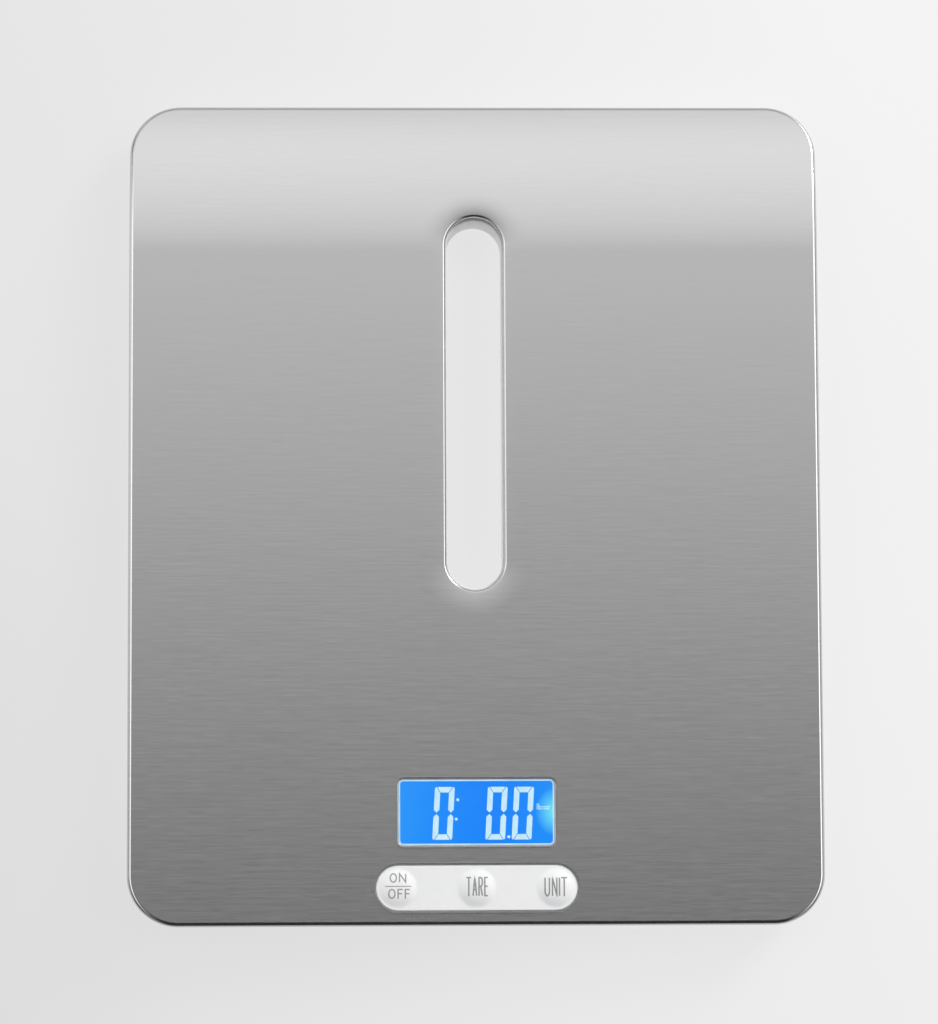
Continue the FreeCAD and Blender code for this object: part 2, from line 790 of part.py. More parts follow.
def make_display():
    window_low = recess_floor + 0.02
    ledge = display_block("window_ledge_plate", window_ledge, window_low, window_low + window_sheet)
    raised = display_block("window_raised", -part_gap, window_low, plate_top - 0.05)
    sub_part(join("display_window", [ledge, raised]))

    lcd_x = either_side(lcd_width / 2)
    lcd_near, lcd_far = display_middle - lcd_height / 2, display_middle + lcd_height / 2
    lcd_low = lcd_top - lcd_thickness
    sub_part(box("lcd_panel", lcd_x, (lcd_near, lcd_far), (lcd_low, lcd_top)))
    light_near = lcd_near + strip_thickness + 1
    sub_part(box("backlight_panel", lcd_x, (light_near, lcd_far), (lcd_low - backlight_thickness, lcd_low)))
    sub_part(box("lcd_connector", either_side(lcd_width / 2 - 1),
                 (lcd_near + 0.3, lcd_near + 0.3 + strip_thickness), (board_top, lcd_low)))
    frame_block = slab(
        "frame_block", rounded_rectangle, board_top, lcd_top,
        either_side(lcd_width / 2 + frame_wall), (lcd_near - frame_wall, lcd_far + frame_wall),
        display_corner,
    )
    frame_hole = box("frame_hole", either_side(lcd_width / 2 + part_gap),
                     (lcd_near - part_gap, lcd_far + part_gap), (board_top - 1, lcd_top + 1))
    sub_part(cut("lcd_frame", frame_block, [frame_hole]))


# --------------------------------------------------------------------------- keys

def make_keypad():
    """White rubber pad: flange under the cover, raised stadium with three key holes."""
    body = new_body("keypad")
    low = recess_floor + 0.05
    flange = level_stadium(
        new_sketch(body, "flange", "XY_Plane", low), pad_height / 2 + pad_flange,
        pad_width / 2 + pad_flange, pad_middle,
    )
    pad(body, flange, plate_under - 0.1 - low)
    raised = level_stadium(
        new_sketch(body, "raised", "XY_Plane", low), pad_height / 2, pad_width / 2, pad_middle
    )
    pad(body, raised, pad_top - low)
    holes = circles(
        new_sketch(body, "key_holes", "XY_Plane", pad_top + 1),
        [(key_pitch * side, pad_middle) for side in KEYS.values()], key_radius + moving_gap,
    )
    pocket(body, holes, pad_top - low + 2)
    sub_part(body)


def make_keys():
    """Domed keys, each on a tact switch whose plunger moves with it."""
    cap_low = recess_floor + 0.2
    dome_radius = (key_radius.value ** 2 + key_crown.value ** 2) / (2 * key_crown.value)
    dome = Size(dome_radius, f"(({key_radius.text} * {key_radius.text} + {key_crown.text} * {key_crown.text})"
                             f" / (2 * {key_crown.text}))")
    housings = []
    for name, side in KEYS.items():
        x = key_pitch * side
        key = new_body(f"{name}_key")
        revolve(
            key,
            [(ZERO, key_foot_level), (key_stem_radius, key_foot_level), (key_stem_radius, cap_low),
             (key_radius, cap_low), (key_radius, pad_top), (ZERO, pad_top + key_crown)],
            {4: (dome, 1)},
        )
        sub_part(place(key, x, pad_middle))

        plunger_low = key_foot_level - plunger_length
        plunger = new_body(f"{name}_plunger")
        revolve(plunger, [(ZERO, plunger_low), (plunger_radius, plunger_low),
                          (plunger_radius, key_foot_level), (ZERO, key_foot_level)])
        sub_part(place(plunger, x, pad_middle))

        block = box(f"{name}_switch_block", *square(x, pad_middle, switch_side / 2),
                    (board_top, board_top + switch_height))
        bore = cylinder(f"{name}_switch_bore", x, pad_middle,
                        (plunger_low - key_travel - 0.2, board_top + switch_height + 1),
                        plunger_radius + 0.1)
        housings.append(cut(f"{name}_switch", block, [bore]))
    sub_part(group("key_switches", housings))


# --------------------------------------------------------------------------- main board

def board_places():
    reach = board_screw_pitch / 2
    return [(x, y) for x in (-reach, reach) for y in (board_near + 2.6, board_far - 2.6)]


def board_columns(name, z, radius):
    return [cylinder(f"{name}_{i}", x, y, z, radius) for i, (x, y) in enumerate(board_places(), 1)]


def make_board():
    blank = slab("board_blank", rounded_rectangle, board_under, board_top,
                 either_side(board_width / 2), (board_near, board_far), as_size(1))
    holes = board_columns("board_hole", (board_under - 1, board_top + 1), board_screw_radius + 0.2)
    sub_part(cut("main_board", blank, holes))
    screws = []
    for i, (x, y) in enumerate(board_places(), 1):
        head = cylinder(f"board_screw_head_{i}", x, y, (board_top, board_top + 1.4), board_screw_radius * 2)
        shank = cylinder(f"board_screw_shank_{i}", x, y, (board_under - 3, board_top + 0.2),
                         board_screw_radius)
        screws.append(join(f"board_screw_{i}", [head, shank]))
    sub_part(group("board_screws", screws))

    chip_middle = (board_near + board_far) / 2
    sub_part(box("controller_chip", *square(ZERO, chip_middle, as_size(5)), (board_under - 1.6, board_under)))
    sub_part(box("converter_chip", (as_size(14), as_size(18)), (chip_middle - 5, chip_middle + 5),
                 (board_under - 1.5, board_under)))
    sub_part(group("board_capacitors", [
        cylinder(f"capacitor_{i}", as_size(x), chip_middle + 6, (socket_low, board_under), as_size(2))
        for i, x in enumerate((-18, -12), 1)
    ]))


def socket_face():
    return board_width / 2


def socket_range():
    return foot_near - 4, foot_near + 10


def make_sockets():
    face = socket_face()
    sockets = [
        box("cable_socket_left", (-face, -face + socket_width), socket_range(), (socket_low, board_under)),
        box("cable_socket_right", (face - socket_width, face), socket_range(), (socket_low, board_under)),
        box("battery_socket", either_side(6), (board_far - 6, board_far - 1), (socket_low, board_under)),
    ]
    sub_part(group("cable_sockets", sockets))


# --------------------------------------------------------------------------- batteries

def battery_rows():
    """Name, y and the direction (+1 or -1) in which each cell's positive end points."""
    return (
        ("battery_near", bay_middle - cell_pitch / 2, 1),
        ("battery_far", bay_middle + cell_pitch / 2, -1),
    )


def directed(start, end, sense):
    """An x range measured along the cell, turned round for a cell that faces the other way."""
    return (start, end) if sense > 0 else (-end, -start)


def make_batteries():
    springs, plates = [], []
    spring_length = spring_wire * 5
    half = contact_side / 2
    for name, y, sense in battery_rows():
        back = -bay_half_length + contact_sheet + spring_length
        can = cylinder_along_x(f"{name}_can", directed(back, back + cell_length, sense), y, cell_level,
                               cell_radius)
        nub_end = back + cell_length + cell_nub
        nub = cylinder_along_x(f"{name}_nub", directed(back + cell_length - 0.5, nub_end, sense), y,
                               cell_level, cell_nub_radius)
        sub_part(join(name, [can, nub]))

        sheet_x = directed(-bay_half_length, -bay_half_length + contact_sheet, sense)
        height = (cell_level - half, cell_level + half)
        pieces = [box(f"{name}_spring_sheet", sheet_x, (y - half, y + half), height)]
        for turn in range(5):
            low = -bay_half_length + contact_sheet + spring_wire * turn
            ring = spring_radius - spring_wire * 0.55 * turn
            span = directed(low - 0.02, low + spring_wire, sense)
            outer = cylinder_along_x(f"{name}_coil_{turn}_outer", span, y, cell_level, ring + spring_wire / 2)
            inner_span = (span[0] - 0.05, span[1] + 0.05)
            inner = cylinder_along_x(f"{name}_coil_{turn}_inner", inner_span, y, cell_level,
                                     ring - spring_wire / 2)
            pieces.append(cut(f"{name}_coil_{turn}", outer, [inner]))
        springs.append(join(f"{name}_spring", pieces))

        plate_x = directed(bay_half_length - contact_sheet, bay_half_length, sense)
        flat = box(f"{name}_plate_sheet", plate_x, (y - half, y + half), height)
        dimple = cylinder_along_x(
            f"{name}_dimple", directed(bay_half_length - contact_sheet - dimple_height,
                                       bay_half_length - contact_sheet + 0.1, sense),
            y, cell_level, dimple_radius,
        )
        plates.append(join(f"{name}_plate", [flat, dimple]))
    sub_part(group("battery_springs", springs))
    sub_part(group("battery_plates", plates))


def make_battery_door():
    """Snap-in door: two hinge tabs at the far edge, a hook and a finger groove at the near edge."""
    near, far = bay_near + door_gap, bay_far - door_gap
    half = bay_half_length - door_gap
    sheet_block = box("door_sheet_block", either_side(half), (near, far), (ground_gap, ground_gap + door_sheet))
    tab_low = floor_top + 0.1
    tab_top = tab_low + tab_sheet
    tab_near = bay_middle + cell_pitch / 2 + leg(cell_radius, cell_level - tab_top) + tab_clearance
    pieces = [sheet_block]
    for i, x in enumerate((-bay_half_length / 2, bay_half_length / 2), 1):
        span = (x - tab_width / 2, x + tab_width / 2)
        pieces.append(box(f"door_tab_{i}", span, (tab_near, far + tab_reach), (tab_low, tab_top)))
        pieces.append(box(f"door_tab_root_{i}", span, (tab_near, far), (ground_gap + 0.5, tab_top)))
    hook_x = either_side(tab_width / 2)
    pieces.append(box("door_hook_root", hook_x, (near, near + 1), (ground_gap + 0.5, tab_top)))
    pieces.append(box("door_hook", hook_x, (near - door_gap - hook_reach, near + 1),
                      (tab_low, tab_top)))
    blank = join("door_blank", pieces)
    grooves = [
        box(f"door_groove_{i}", either_side(5), (near + 2.2 + 1.2 * i, near + 2.8 + 1.2 * i),
            (ground_gap - 0.5, ground_gap + 0.4))
        for i in range(4)
    ]
    sub_part(cut("battery_door", blank, grooves))


def make_battery_leads():
    """Leads from the battery bay to the board."""
    leads = []
    for i, x in enumerate((-3, 3), 1):
        body = new_body(f"battery_lead_{i}")
        sketch = circles(new_sketch(body, "section", "XZ_Plane", -(bay_near - bay_wall)),
                         [(as_size(x), board_under - 2)], cable_radius)
        pad(body, sketch, bay_near - bay_wall - board_far + 1)
        leads.append(body)
    sub_part(group("battery_leads", leads))


# --------------------------------------------------------------------------- load cells and feet

def clamp_screw_columns(name, x, y, z, radius):
    reach = clamp_screw_place
    return [cylinder(f"{name}_{end}", x + reach * sign, y + reach * sign, z, radius)
            for end, sign in (("a", -1), ("b", 1))]


def make_load_cell(name, x, y):
    """Spring-steel plate whose slit leaves a tongue in the middle that the foot pushes on."""
    body = new_body(f"load_cell_{name}")
    half = gauge_plate / 2
    plate = rounded_rectangle(new_sketch(body, "plate", "XY_Plane", gauge_level),
                              either_side(half), either_side(half), gauge_corner)
    pad(body, plate, gauge_sheet)
    inner, outer = tongue_width / 2, tongue_width / 2 + tongue_slit
    low, high = -outer - 0.5, outer - 0.5
    slit = outline(new_sketch(body, "slit", "XY_Plane", gauge_top + 1), [
        (-outer, low), (outer, low), (outer, high), (inner, high),
        (inner, low + tongue_slit), (-inner, low + tongue_slit), (-inner, high), (-outer, high),
    ])
    pocket(body, slit, gauge_sheet + 2)
    hole = circles(new_sketch(body, "hole", "XY_Plane", gauge_top + 1), [(ZERO, ZERO)], stud_radius + 0.1)
    pocket(body, hole, gauge_sheet + 2)
    sub_part(place(body, x, y))


def make_foot(name, x, y):
    """Foot cap that slides in the tray's floor, with a rubber pad set into its underside."""
    cap = new_body(f"foot_cap_{name}")
    disc_low = foot_top - foot_disc
    revolve(cap, [
        (ZERO, pad_thickness), (pad_radius, pad_thickness), (pad_radius, disc_low),
        (foot_radius - 0.4, disc_low), (foot_radius, disc_low + 0.4),
        (foot_radius, foot_top), (foot_stem_radius, foot_top),
        (foot_stem_radius, gauge_level - 0.8), (foot_tip_radius, gauge_level - 0.8),
        (foot_tip_radius, gauge_level), (stud_radius, gauge_level),
        (stud_radius, gauge_top + stud_height), (ZERO, gauge_top + stud_height),
    ])
    sub_part(place(cap, x, y))
    pad_body = new_body(f"foot_pad_{name}")
    revolve(pad_body, [
        (ZERO, ZERO), (pad_radius - 0.5, ZERO), (pad_radius, as_size(0.5)),
        (pad_radius, pad_thickness), (ZERO, pad_thickness),
    ])
    sub_part(place(pad_body, x, y))


def make_feet():
    gauges, clamps, screws = [], [], []
    for name, (side, y) in FEET.items():
        x = foot_half * side
        make_load_cell(name, x, y)
        make_foot(name, x, y)
        gauges.append(box(f"strain_gauge_{name}", (x - 2, x + 2), (y + 3, y + 6),
                          (gauge_top, gauge_top + strain_film)))
        plate = slab(f"clamp_plate_{name}", rounded_rectangle, gauge_top, gauge_top + clamp_sheet,
                     *square(x, y, seat_side / 2), as_size(2))
        opening = box(f"clamp_opening_{name}", *square(x, y, seat_opening / 2),
                      (gauge_top - 1, gauge_top + clamp_sheet + 1))
        holes = clamp_screw_columns(f"clamp_hole_{name}", x, y, (gauge_top - 1, gauge_top + clamp_sheet + 1),
                                    clamp_screw_radius + 0.1)
        clamps.append(cut(f"clamp_{name}", plate, [opening] + holes))
        clamp_top = gauge_top + clamp_sheet
        heads = clamp_screw_columns(f"clamp_head_{name}", x, y, (clamp_top, clamp_top + 1.2), clamp_screw_head)
        shanks = clamp_screw_columns(f"clamp_shank_{name}", x, y,
                                     (gauge_top - clamp_screw_length + 0.1, clamp_top + 0.2),
                                     clamp_screw_radius)
        screws += [join(f"clamp_screw_{name}_{i}", [head, shank])
                   for i, (head, shank) in enumerate(zip(heads, shanks), 1)]
    sub_part(group("strain_gauges", gauges))
    sub_part(group("load_cell_clamps", clamps))
    sub_part(group("clamp_screws", screws))


def cable_path(points, radius):
    """Straight runs joined by tangent arcs at the inner points."""
    edges = []
    start = points[0]
    for corner, after in zip(points[1:-1], points[2:]):
        before = (start - corner).normalize()
        onward = (after - corner).normalize()
        half_turn = (math.pi - before.getAngle(onward)) / 2
        trim = radius * math.tan(half_turn)
        entry, leave = corner + before * trim, corner + onward * trim
        middle_way = (before + onward).normalize()
        centre = corner + middle_way * (radius / math.cos(half_turn))
        middle = centre - middle_way * radius
        edges.append(Part.LineSegment(start, entry).toShape())
        edges.append(Part.Arc(entry, middle, leave).toShape())
        start = leave
    edges.append(Part.LineSegment(start, points[-1]).toShape())
    return Part.Wire(edges)


def make_sensor_cables():
    """Cable of each load cell, along the tray's floor to the socket on its side of the board."""
    level = board_under.value - 2
    solids = []
    for name, (side, y) in FEET.items():
        start_x = (foot_half.value - seat_side.value / 2) * side
        end_x = socket_face().value * side
        lane = (foot_half.value - cable_lane.value) * side
        end_y = y.value if y is foot_near else socket_range()[1].value - 3
        points = [FreeCAD.Vector(start_x, y.value, level)]
        if y is not foot_near:
            points += [FreeCAD.Vector(lane, y.value, level), FreeCAD.Vector(lane, end_y, level)]
        points.append(FreeCAD.Vector(end_x, end_y, level))
        # a bend fits between the seat and the lane
        bend = min(cable_bend.value, 0.9 * abs(start_x - lane))
        path = cable_path(points, bend)
        section = Part.Wire(Part.Circle(points[0], points[1] - points[0], cable_radius.value).toShape())
        cable = path.makePipeShell([section], True, False)
        expected = math.pi * cable_radius.value ** 2 * path.Length
        if abs(cable.Volume - expected) > 0.02 * expected:
            raise ValueError(f"cable {name} is not a clean tube")
        solids.append(cable)
    item = doc.addObject("Part::Feature", "sensor_cables")
    item.Shape = Part.makeCompound(solids)
    item.Placement = FreeCAD.Placement()
    sub_part(item)


# --------------------------------------------------------------------------- whole scale

def check_and_export():
    doc.recompute()
    for item in doc.Objects:
        if "Invalid" in item.State or "Error" in item.State:
            raise ValueError(f"{item.Name} failed: {item.State}")
    os.makedirs("parts", exist_ok=True)
    for name, item in nodes.items():
        shape = item.Shape
        if shape.isNull() or not shape.isValid() or not shape.Solids:
            raise ValueError(f"{name} has no valid solid")
        shape.exportStep(f"parts/{name}.step")
        print(f"{name}: {len(shape.Solids)} solid(s), {shape.Volume:.1f} mm3")


doc.recompute()
make_top_cover()
make_cover_tape()
make_upper_housing()
make_slot_liner()
make_lower_housing()
make_housing_screws()
make_display()
make_keypad()
make_keys()
make_board()
make_sockets()
make_batteries()
make_battery_door()
make_battery_leads()
make_feet()
make_sensor_cables()
check_and_export()
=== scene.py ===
import json
import math

import bpy
import numpy as np
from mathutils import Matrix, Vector
from mathutils.geometry import delaunay_2d_cdt


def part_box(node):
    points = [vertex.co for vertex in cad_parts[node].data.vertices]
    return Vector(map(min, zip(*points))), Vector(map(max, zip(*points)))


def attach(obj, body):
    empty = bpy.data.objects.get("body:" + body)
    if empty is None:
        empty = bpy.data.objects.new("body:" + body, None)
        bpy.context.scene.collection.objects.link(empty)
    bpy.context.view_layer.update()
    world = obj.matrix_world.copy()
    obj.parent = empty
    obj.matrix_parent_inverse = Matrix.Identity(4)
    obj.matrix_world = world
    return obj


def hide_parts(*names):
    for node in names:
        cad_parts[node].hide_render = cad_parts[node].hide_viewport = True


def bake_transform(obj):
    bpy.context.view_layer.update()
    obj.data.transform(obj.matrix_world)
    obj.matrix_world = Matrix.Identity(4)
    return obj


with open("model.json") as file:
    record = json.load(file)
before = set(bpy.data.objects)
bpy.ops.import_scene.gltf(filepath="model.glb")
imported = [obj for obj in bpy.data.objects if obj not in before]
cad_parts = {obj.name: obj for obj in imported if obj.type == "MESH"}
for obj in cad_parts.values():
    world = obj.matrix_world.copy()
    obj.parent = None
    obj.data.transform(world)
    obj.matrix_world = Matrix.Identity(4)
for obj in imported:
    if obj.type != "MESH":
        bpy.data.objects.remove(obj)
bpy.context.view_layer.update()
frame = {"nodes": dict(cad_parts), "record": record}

MM = 0.001
ROOT = "scale_body"
nodes = frame["nodes"]


def box_mm(node):
    """Lowest and highest corner of a CAD node, in millimetres."""
    low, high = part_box(node)
    return np.array(low) / MM, np.array(high) / MM


# ---------------------------------------------------------------- sizes, in millimetres

cover_low, cover_high = box_mm("top_cover")
TOP = cover_high[2]
HALF_WIDTH = cover_high[0]
HALF_LENGTH = cover_high[1]
SKIRT = cover_low[2]
STEEL = 0.5
CORNER = 14.0
EDGE_ROLL = 1.3
FALL_RADIUS = 170.0
FALL_START = HALF_LENGTH - 41.0

liner_low, liner_high = box_mm("slot_liner")
SLOT_HALF = 7.9
LINER_FLANGE = 3.9
SLOT_NEAR = liner_low[1] + LINER_FLANGE
SLOT_FAR = liner_high[1] - LINER_FLANGE
SLOT_ROLL = 0.8
SLOT_FLANGE = TOP - 2.0
DISH_WIDTH = 7.0
DISH_NEAR_DEPTH = 0.15
DISH_FAR_DEPTH = 0.42

SLEEVE_WALL = 1.5
SIDE_REVEAL = 0.25
END_REVEAL = 0.6
SLEEVE_DROP = 1.2
SLEEVE_HALF = SLOT_HALF - SIDE_REVEAL
SLEEVE_NEAR = SLOT_NEAR + END_REVEAL
SLEEVE_FAR = SLOT_FAR - END_REVEAL
SLEEVE_TOP = SLOT_FLANGE - SLEEVE_DROP
SLEEVE_LOW = liner_low[2]
LIP = 0.4

window_low, window_high = box_mm("display_window")
WINDOW_LEDGE = 2.15
WINDOW_MIDDLE = (window_low[1] + window_high[1]) / 2
WINDOW_HALF = np.array([window_high[0], (window_high[1] - window_low[1]) / 2]) - WINDOW_LEDGE
WINDOW_CORNER = 1.3

pad_low, pad_high = box_mm("keypad")
PAD_FLANGE = 1.3
PAD_MIDDLE = (pad_low[1] + pad_high[1]) / 2
PAD_HALF = np.array([pad_high[0], (pad_high[1] - pad_low[1]) / 2]) - PAD_FLANGE
PAD_TOP = pad_high[2]
GAP = 0.15

KEYS = {"on_off": -1, "tare": 0, "unit": 1}
key_low, key_high = box_mm("unit_key")
KEY_PITCH = (key_low[0] + key_high[0]) / 2
KEY_CROWN = key_high[2] - PAD_TOP
DOME_RADIUS = 5.55

lcd_low, lcd_high = box_mm("lcd_panel")

# Cover mesh: rolls of its small rims, and the spacing of the points over the plate.
WINDOW_RIM_ROLL = 0.18
PAD_RIM_ROLL = 0.08
SLOT_RINGS = (1.2, 1.7, 2.3, 3.0, 3.8, 4.7, 5.8, 7.0, 8.5)
SLOT_BAND = 9.8
GRID_PITCH = 3.0
GRID_FALL_PITCH = 2.0
GRID_START = 2.6
GRID_STOP = 2.5
GRID_CLEAR = 1.3
NORMAL_STEP = 0.02

ROUND_END = 1e-4  # a round end's radius is this much less than half the width
MERGE_DISTANCE = 1e-6
WINDOW_ROLL = 0.42
PAD_ROLL = 0.3
DOME_NORMAL_STEP = 0.01
STEM_RADIUS = 2.0
STEM_CHAMFER = 0.2


# ---------------------------------------------------------------- mesh helpers

class Skin:
    """Patches of surface, each point with its own normal, gathered into one mesh."""

    def __init__(self):
        self.points = []
        self.normals = []
        self.grain = []
        self.faces = []
        self.slots = []

    def add(self, points, normals, faces, grain=None, slot=0):
        """One patch, in millimetres; grain is the pair of distances that the brush lines follow."""
        first = len(self.points)
        points = np.asarray(points, float)
        normals = np.broadcast_to(np.asarray(normals, float), points.shape)
        grain = points[:, [1, 0]] if grain is None else np.asarray(grain, float)
        self.points.extend(points)
        self.normals.extend(normals)
        self.grain.extend(grain)
        for face in faces:
            corner = points[list(face)]
            across = np.cross(corner[1] - corner[0], corner[2] - corner[0])
            for extra in range(2, len(face) - 1):
                across = across + np.cross(corner[extra] - corner[0], corner[extra + 1] - corner[0])
            same = np.dot(across, normals[list(face)].mean(0)) >= 0
            order = face if same else tuple(reversed(face))
            self.faces.append([first + i for i in order])
            self.slots.append(slot)

    def rings(self, rings, normals, grain=None, slot=0):
        """Quads between each ring of points and the next."""
        count = len(rings[0])
        faces = [
            (row * count + i, row * count + (i + 1) % count,
             (row + 1) * count + (i + 1) % count, (row + 1) * count + i)
            for row in range(len(rings) - 1) for i in range(count)
        ]
        grain = None if grain is None else np.concatenate(grain)
        self.add(np.concatenate(rings), np.concatenate(normals), faces, grain, slot)

    def lid(self, ring, normal):
        """A flat face over one ring."""
        self.add(ring, [normal] * len(ring), [tuple(range(len(ring)))])

    def build(self, name, *materials):
        mesh = bpy.data.meshes.new(name)
        mesh.from_pydata([Vector(p) * MM for p in self.points], [], self.faces)
        mesh.shade_smooth()
        layer = mesh.uv_layers.new(name="grain")
        index = np.empty(len(mesh.loops), np.int32)
        mesh.loops.foreach_get("vertex_index", index)
        layer.data.foreach_set("uv", (np.array(self.grain)[index] * MM).astype(np.float32).ravel())
        lengths = np.linalg.norm(self.normals, axis=1, keepdims=True)
        mesh.normals_split_custom_set_from_vertices(np.array(self.normals) / lengths)
        for material in materials:
            mesh.materials.append(material)
        mesh.polygons.foreach_set("material_index", self.slots)
        piece = bpy.data.objects.new(name, mesh)
        bpy.context.scene.collection.objects.link(piece)
        return piece


def outline(half_x, half_y, radius, middle=0.0, step=2.5, turn=4.0):
    """Points round a rectangle with round corners, and their outward directions."""
    points, outward = [], []
    corners = [(1, -1, -90), (1, 1, 0), (-1, 1, 90), (-1, -1, 180)]
    arcs = max(3, int(round(90 / turn)))
    for sx, sy, start in corners:
        centre = np.array([sx * (half_x - radius), sy * (half_y - radius)])
        for i in range(arcs + 1):
            a = math.radians(start + 90 * i / arcs)
            direction = np.array([math.cos(a), math.sin(a)])
            points.append(centre + radius * direction)
            outward.append(direction)
    full, full_out = [], []
    for i, point in enumerate(points):
        full.append(point)
        full_out.append(outward[i])
        after = points[(i + 1) % len(points)]
        span = np.linalg.norm(after - point)
        if i % (arcs + 1) == arcs and span > step:
            parts = int(math.ceil(span / step))
            for k in range(1, parts):
                full.append(point + (after - point) * k / parts)
                full_out.append(outward[i])
    full = np.array(full)
    keep = np.linalg.norm(full - np.roll(full, 1, axis=0), axis=1) > 1e-6
    full = full[keep] + np.array([0.0, middle])
    return full, np.array(full_out)[keep]


def stretch(loop, outward, distance):
    return loop + outward * distance


def slerp(a, b, t):
    """Directions part way from each row of a to each row of b."""
    cosine = np.clip((a * b).sum(1), -1, 1)
    angle = np.arccos(cosine)[:, None]
    sine = np.maximum(np.sin(angle), 1e-9)
    return (np.sin((1 - t) * angle) * a + np.sin(t * angle) * b) / sine


def level(loop, z):
    return np.column_stack([loop, np.full(len(loop), z)])


def sideways(outward):
    return np.column_stack([outward, np.zeros(len(outward))])


def upward(loop):
    return np.tile([0.0, 0.0, 1.0], (len(loop), 1))


def rolled_top(loop, out, top, bottom, roll, steps):
    """Rings and normals of a wall whose top edge is rolled inward."""
    side, up = sideways(out), upward(loop)
    rings, normals = [], []
    for k in range(steps + 1):
        a = math.radians(90 * k / steps)
        rings.append(level(stretch(loop, out, -roll * (1 - math.sin(a))), top - roll * (1 - math.cos(a))))
        normals.append(math.cos(a) * up + math.sin(a) * side)
    rings.append(level(loop, bottom))
    normals.append(side)
    return rings, normals


def surface_normal(height, x, y, step):
    """Unit normals of a height field, from its slopes over a step each way."""
    slope_x = (height(x + step, y) - height(x - step, y)) / (2 * step)
    slope_y = (height(x, y + step) - height(x, y - step)) / (2 * step)
    normal = np.column_stack([-slope_x, -slope_y, np.ones_like(slope_x)])
    return normal / np.linalg.norm(normal, axis=1, keepdims=True)


def inside(points, loop):
    """Which points lie inside a closed loop."""
    result = np.zeros(len(points), bool)
    x, y = points[:, 0], points[:, 1]
    for (x1, y1), (x2, y2) in zip(loop, np.roll(loop, -1, axis=0)):
        if y1 == y2:
            continue
        crosses = (y1 > y) != (y2 > y)
        result ^= crosses & (x < (x2 - x1) * (y - y1) / (y2 - y1) + x1)
    return result


def filled(rim, holes, extra=()):
    """Points and faces over the area inside a rim and outside its holes."""
    edges, first = [], 0
    for loop in (rim, *holes):
        count = len(loop)
        edges += [(first + i, first + (i + 1) % count) for i in range(count)]
        first += count
    points = [Vector(p) for p in np.concatenate([rim, *holes, *extra])]
    flat, _, faces, _, _, _ = delaunay_2d_cdt(points, edges, [], 0, MERGE_DISTANCE)
    flat = np.array([tuple(p) for p in flat])
    middles = np.array([flat[list(f)].mean(0) for f in faces])
    solid = inside(middles, rim)
    for hole in holes:
        solid &= ~inside(middles, hole)
    return flat, [tuple(f) for f, ok in zip(faces, solid) if ok]


# ---------------------------------------------------------------- cover

def slot_distance(x, y):
    """Distance outside the slot's wall."""
    run = np.clip(y, SLOT_NEAR + SLOT_HALF, SLOT_FAR - SLOT_HALF)
    return np.hypot(x, y - run) - SLOT_HALF


def plate_height(x, y):
    """Level of the plate: flat, falling away on an arc at the far end, dished round the slot."""
    t = np.clip(y - FALL_START, 0, None)
    drop = FALL_RADIUS - np.sqrt(FALL_RADIUS ** 2 - t ** 2)
    closeness = np.clip(1 - slot_distance(x, y) / DISH_WIDTH, 0, 1)
    depth = np.interp(y, (SLOT_NEAR, SLOT_FAR), (DISH_NEAR_DEPTH, DISH_FAR_DEPTH))
    return TOP - drop - depth * closeness ** 2.2


def plate_normal(x, y):
    return surface_normal(plate_height, x, y, NORMAL_STEP)


def rolled_rim(skin, loop, away, radius, bottom, steps=8):
    """The plate's edge turned down round a loop; away points from the metal into the air."""
    start = stretch(loop, away, -radius)
    for _ in range(4):
        normal = plate_normal(start[:, 0], start[:, 1])
        start = stretch(loop, away, -radius) + radius * normal[:, :2]
    normal = plate_normal(start[:, 0], start[:, 1])
    surface = np.column_stack([start, plate_height(start[:, 0], start[:, 1])])
    centre = surface - radius * normal
    side = sideways(away)
    normals = [slerp(normal, side, k / steps) for k in range(steps + 1)]
    rings = [centre + radius * n for n in normals]
    fold = min(0.15, STEEL / 3)
    rings.append(level(loop, bottom + fold))
    normals.append(side)
    down = np.array([0.0, 0.0, -1.0])
    for k in (1, 2, 3):
        a = math.radians(30 * k)
        rings.append(np.column_stack([
            stretch(loop, away, -fold * (1 - math.cos(a))),
            np.full(len(loop), bottom + fold * (1 - math.sin(a))),
        ]))
        normals.append(math.cos(a) * side + math.sin(a) * down)
    grain, run = [], np.zeros(len(loop))
    for k, ring in enumerate(rings):
        if k:
            run = run + np.linalg.norm(ring - rings[k - 1], axis=1)
        grain.append(np.column_stack([
            surface[:, 1] + away[:, 1] * run, surface[:, 0] + away[:, 0] * run,
        ]))
    skin.rings(rings, normals, grain)
    inner = stretch(loop, away, -STEEL)
    skin.rings([rings[-1], level(inner, bottom)], [np.tile(down, (len(loop), 1))] * 2)
    skin.rings([level(inner, bottom), level(inner, bottom + 1.2)], [-side, -side])
    return start


